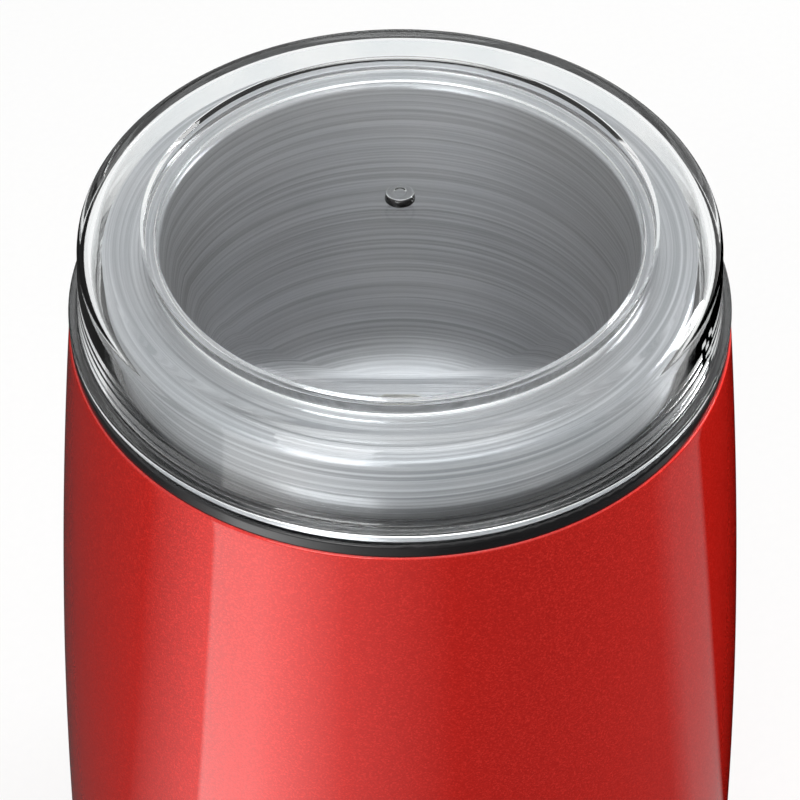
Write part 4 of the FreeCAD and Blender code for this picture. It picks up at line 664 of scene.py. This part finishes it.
paper, tree, shader = new_material("matt_paper", Roughness=0.9)
place = add(tree, "ShaderNodeTexCoord").outputs["Object"]
fibre = add(tree, "ShaderNodeTexNoise", {"Vector": place, "Scale": 1 / (2 * MM), "Detail": 3.0})
tone = add(tree, "ShaderNodeValToRGB", {"Fac": fibre.outputs["Fac"]},
           stops=[(0.3, srgb("e9e9e7")), (0.7, srgb("efefed"))])
tree.links.new(tone.outputs["Color"], shader.inputs["Base Color"])


def seen_directly(tree):
    """1 for rays from the camera, a mirror or clear plastic, and 0 for all others."""
    ray = add(tree, "ShaderNodeLightPath")
    either = add(tree, "ShaderNodeMath", {0: ray.outputs["Is Camera Ray"], 1: ray.outputs["Is Glossy Ray"]},
                 operation="MAXIMUM").outputs[0]
    return add(tree, "ShaderNodeMath", {0: either, 1: ray.outputs["Is Transmission Ray"]},
               operation="MAXIMUM").outputs[0]


glow = add(tree, "ShaderNodeEmission", {"Color": (1, 1, 1, 1), "Strength": 1.0})
share = add(tree, "ShaderNodeMath", {0: seen_directly(tree), 1: PAPER_GLOW}, operation="MULTIPLY")
both = add(tree, "ShaderNodeMixShader", {"Fac": share.outputs[0], 1: shader.outputs[0],
                                         2: glow.outputs[0]})
tree.links.new(both.outputs[0], tree.nodes["Material Output"].inputs["Surface"])
floor.data.materials.append(paper)

world = bpy.data.worlds.new("white_room")
scene.world = world
world.use_nodes = True
tree = world.node_tree
room = tree.nodes["Background"]
level = add(tree, "ShaderNodeMapRange", {"Value": seen_directly(tree), "To Min": 0.6, "To Max": 1.0})
tree.links.new(level.outputs["Result"], room.inputs["Strength"])
room.inputs["Color"].default_value = (1, 1, 1, 1)
print("floor radius", FLOOR_R, "m")

# %% [markdown]
# A large softbox stands at the left front and a smaller one low at the right, a little behind,
# as in a product studio, and a third hangs overhead. Area lights give soft edged shadows, and
# their own shape shows as the highlights in the lacquer and the clear lid.

# %% Softboxes
TARGET = Vector((0, 0, 0.09))


def softbox(name, place, size, watts):
    """Area light that faces the grinder, unseen by the camera."""
    data = bpy.data.lights.new(name, "AREA")
    data.shape = "RECTANGLE"
    data.size, data.size_y = size
    data.energy = watts
    light = bpy.data.objects.new(name, data)
    light.location = place
    light.rotation_euler = (TARGET - Vector(place)).to_track_quat("-Z", "Y").to_euler()
    light.visible_camera = False
    scene.collection.objects.link(light)
    return light


softbox("key_softbox", (-0.35, -0.8, 0.6), (0.5, 0.5), 4.3)
softbox("rim_softbox", (0.9, 0.25, 0.3), (0.3, 0.6), 7.0)
softbox("top_softbox", (0.0, 0.0, 1.0), (0.6, 0.6), 2.6)

# %% [markdown]
# Polished lacquer shows whatever stands round it, so a product studio hangs cards and cloth
# round the object. Here a ring of card lies on the paper, and a low tent stands round it, and
# only mirroring surfaces see them. Each has its own brightness at each azimuth. The card is
# bright at the left front, where it begins at a sharp edge and fades out past the middle, and
# it has a dim strip at the right. The tent is bright at the left front and at the right behind.

# %% Cards that the lacquer mirrors
CARD_IN = 56 * MM
CARD_OUT = 500 * MM
CARD_Z = 0.4 * MM
TENT_HEIGHT = 330 * MM
CARD_SIDES = 96
BRIGHTEST = 4.0


def glow_by_azimuth(name, levels):
    """Emission whose strength depends on the azimuth, from pairs of degrees and strength."""
    material = bpy.data.materials.new(name)
    material.use_nodes = True
    tree = material.node_tree
    tree.nodes.remove(tree.nodes["Principled BSDF"])
    place = add(tree, "ShaderNodeTexCoord").outputs["Object"]
    spot = add(tree, "ShaderNodeSeparateXYZ", {0: place})
    back = add(tree, "ShaderNodeMath", {0: spot.outputs["Y"], 1: -1.0}, operation="MULTIPLY")
    turn = add(tree, "ShaderNodeMath", {0: spot.outputs["X"], 1: back.outputs[0]}, operation="ARCTAN2")
    share = add(tree, "ShaderNodeMapRange", {"Value": turn.outputs[0], "From Min": -math.pi,
                                             "From Max": math.pi})
    stops = [((azimuth + 180) / 360, (level / BRIGHTEST,) * 3 + (1.0,)) for azimuth, level in levels]
    tone = add(tree, "ShaderNodeValToRGB", {"Fac": share.outputs["Result"]}, stops=stops)
    glow = add(tree, "ShaderNodeEmission", {"Color": tone.outputs["Color"], "Strength": BRIGHTEST})
    tree.links.new(glow.outputs[0], tree.nodes["Material Output"].inputs["Surface"])
    return material


def mirrored_only(bm, name, material):
    """Stage piece that only mirroring surfaces see."""
    mesh = bpy.data.meshes.new(name)
    bm.to_mesh(mesh)
    bm.free()
    mesh.materials.append(material)
    piece = bpy.data.objects.new(name, mesh)
    scene.collection.objects.link(piece)
    piece.visible_camera = piece.visible_diffuse = piece.visible_shadow = False
    piece.visible_transmission = False
    return piece


bm = bmesh.new()
rim = bmesh.ops.create_circle(bm, segments=CARD_SIDES, radius=CARD_IN)["verts"]
bmesh.ops.translate(bm, verts=rim, vec=(0, 0, CARD_Z))
made = bmesh.ops.extrude_edge_only(bm, edges=bm.edges[:])["geom"]
outer = [v for v in made if isinstance(v, bmesh.types.BMVert)]
bmesh.ops.scale(bm, verts=outer, vec=(CARD_OUT / CARD_IN, CARD_OUT / CARD_IN, 1.0))
table_card = mirrored_only(bm, "table_card", glow_by_azimuth("table_card_glow", (
    (-180, 0.0), (-80, 0.1), (-56, 0.9), (-55, 2.5), (-40, 2.5), (-15, 0.7), (15, 0.1), (80, 0.1),
    (90, 0.3), (105, 0.3), (106, 0.0))))

bm = bmesh.new()
bmesh.ops.create_circle(bm, segments=CARD_SIDES, radius=CARD_OUT)
made = bmesh.ops.extrude_edge_only(bm, edges=bm.edges[:])["geom"]
upper = [v for v in made if isinstance(v, bmesh.types.BMVert)]
bmesh.ops.translate(bm, verts=upper, vec=(0, 0, TENT_HEIGHT))
tent = mirrored_only(bm, "tent", glow_by_azimuth("tent_glow", (
    (-180, 0.35), (-130, 0.1), (-100, 0.15), (-70, 0.7), (-40, 1.0), (-10, 0.5), (20, 0.2), (70, 0.1),
    (110, 0.3), (135, 0.9), (180, 0.35))))
print("cards:", table_card.name, tent.name)

# %% [markdown]
# The camera looks down at the grinder from in front, close enough that the lid fills the
# frame. Its place and lens come from fitting circles of known radius to the photograph.

# %% The camera
LENS = 96.85
PITCH_DOWN = 45.806
CAMERA_PLACE = (0, -0.2034, 0.3457)

camera_data = bpy.data.cameras.new("camera")
camera_data.lens = LENS
camera_data.sensor_width = 36.0
camera_data.clip_start = 0.01
camera = bpy.data.objects.new("camera", camera_data)
camera.location = CAMERA_PLACE
camera.rotation_euler = (math.radians(90 - PITCH_DOWN), 0, 0)
scene.collection.objects.link(camera)
scene.camera = camera
print("camera:", tuple(round(v, 4) for v in camera.location))
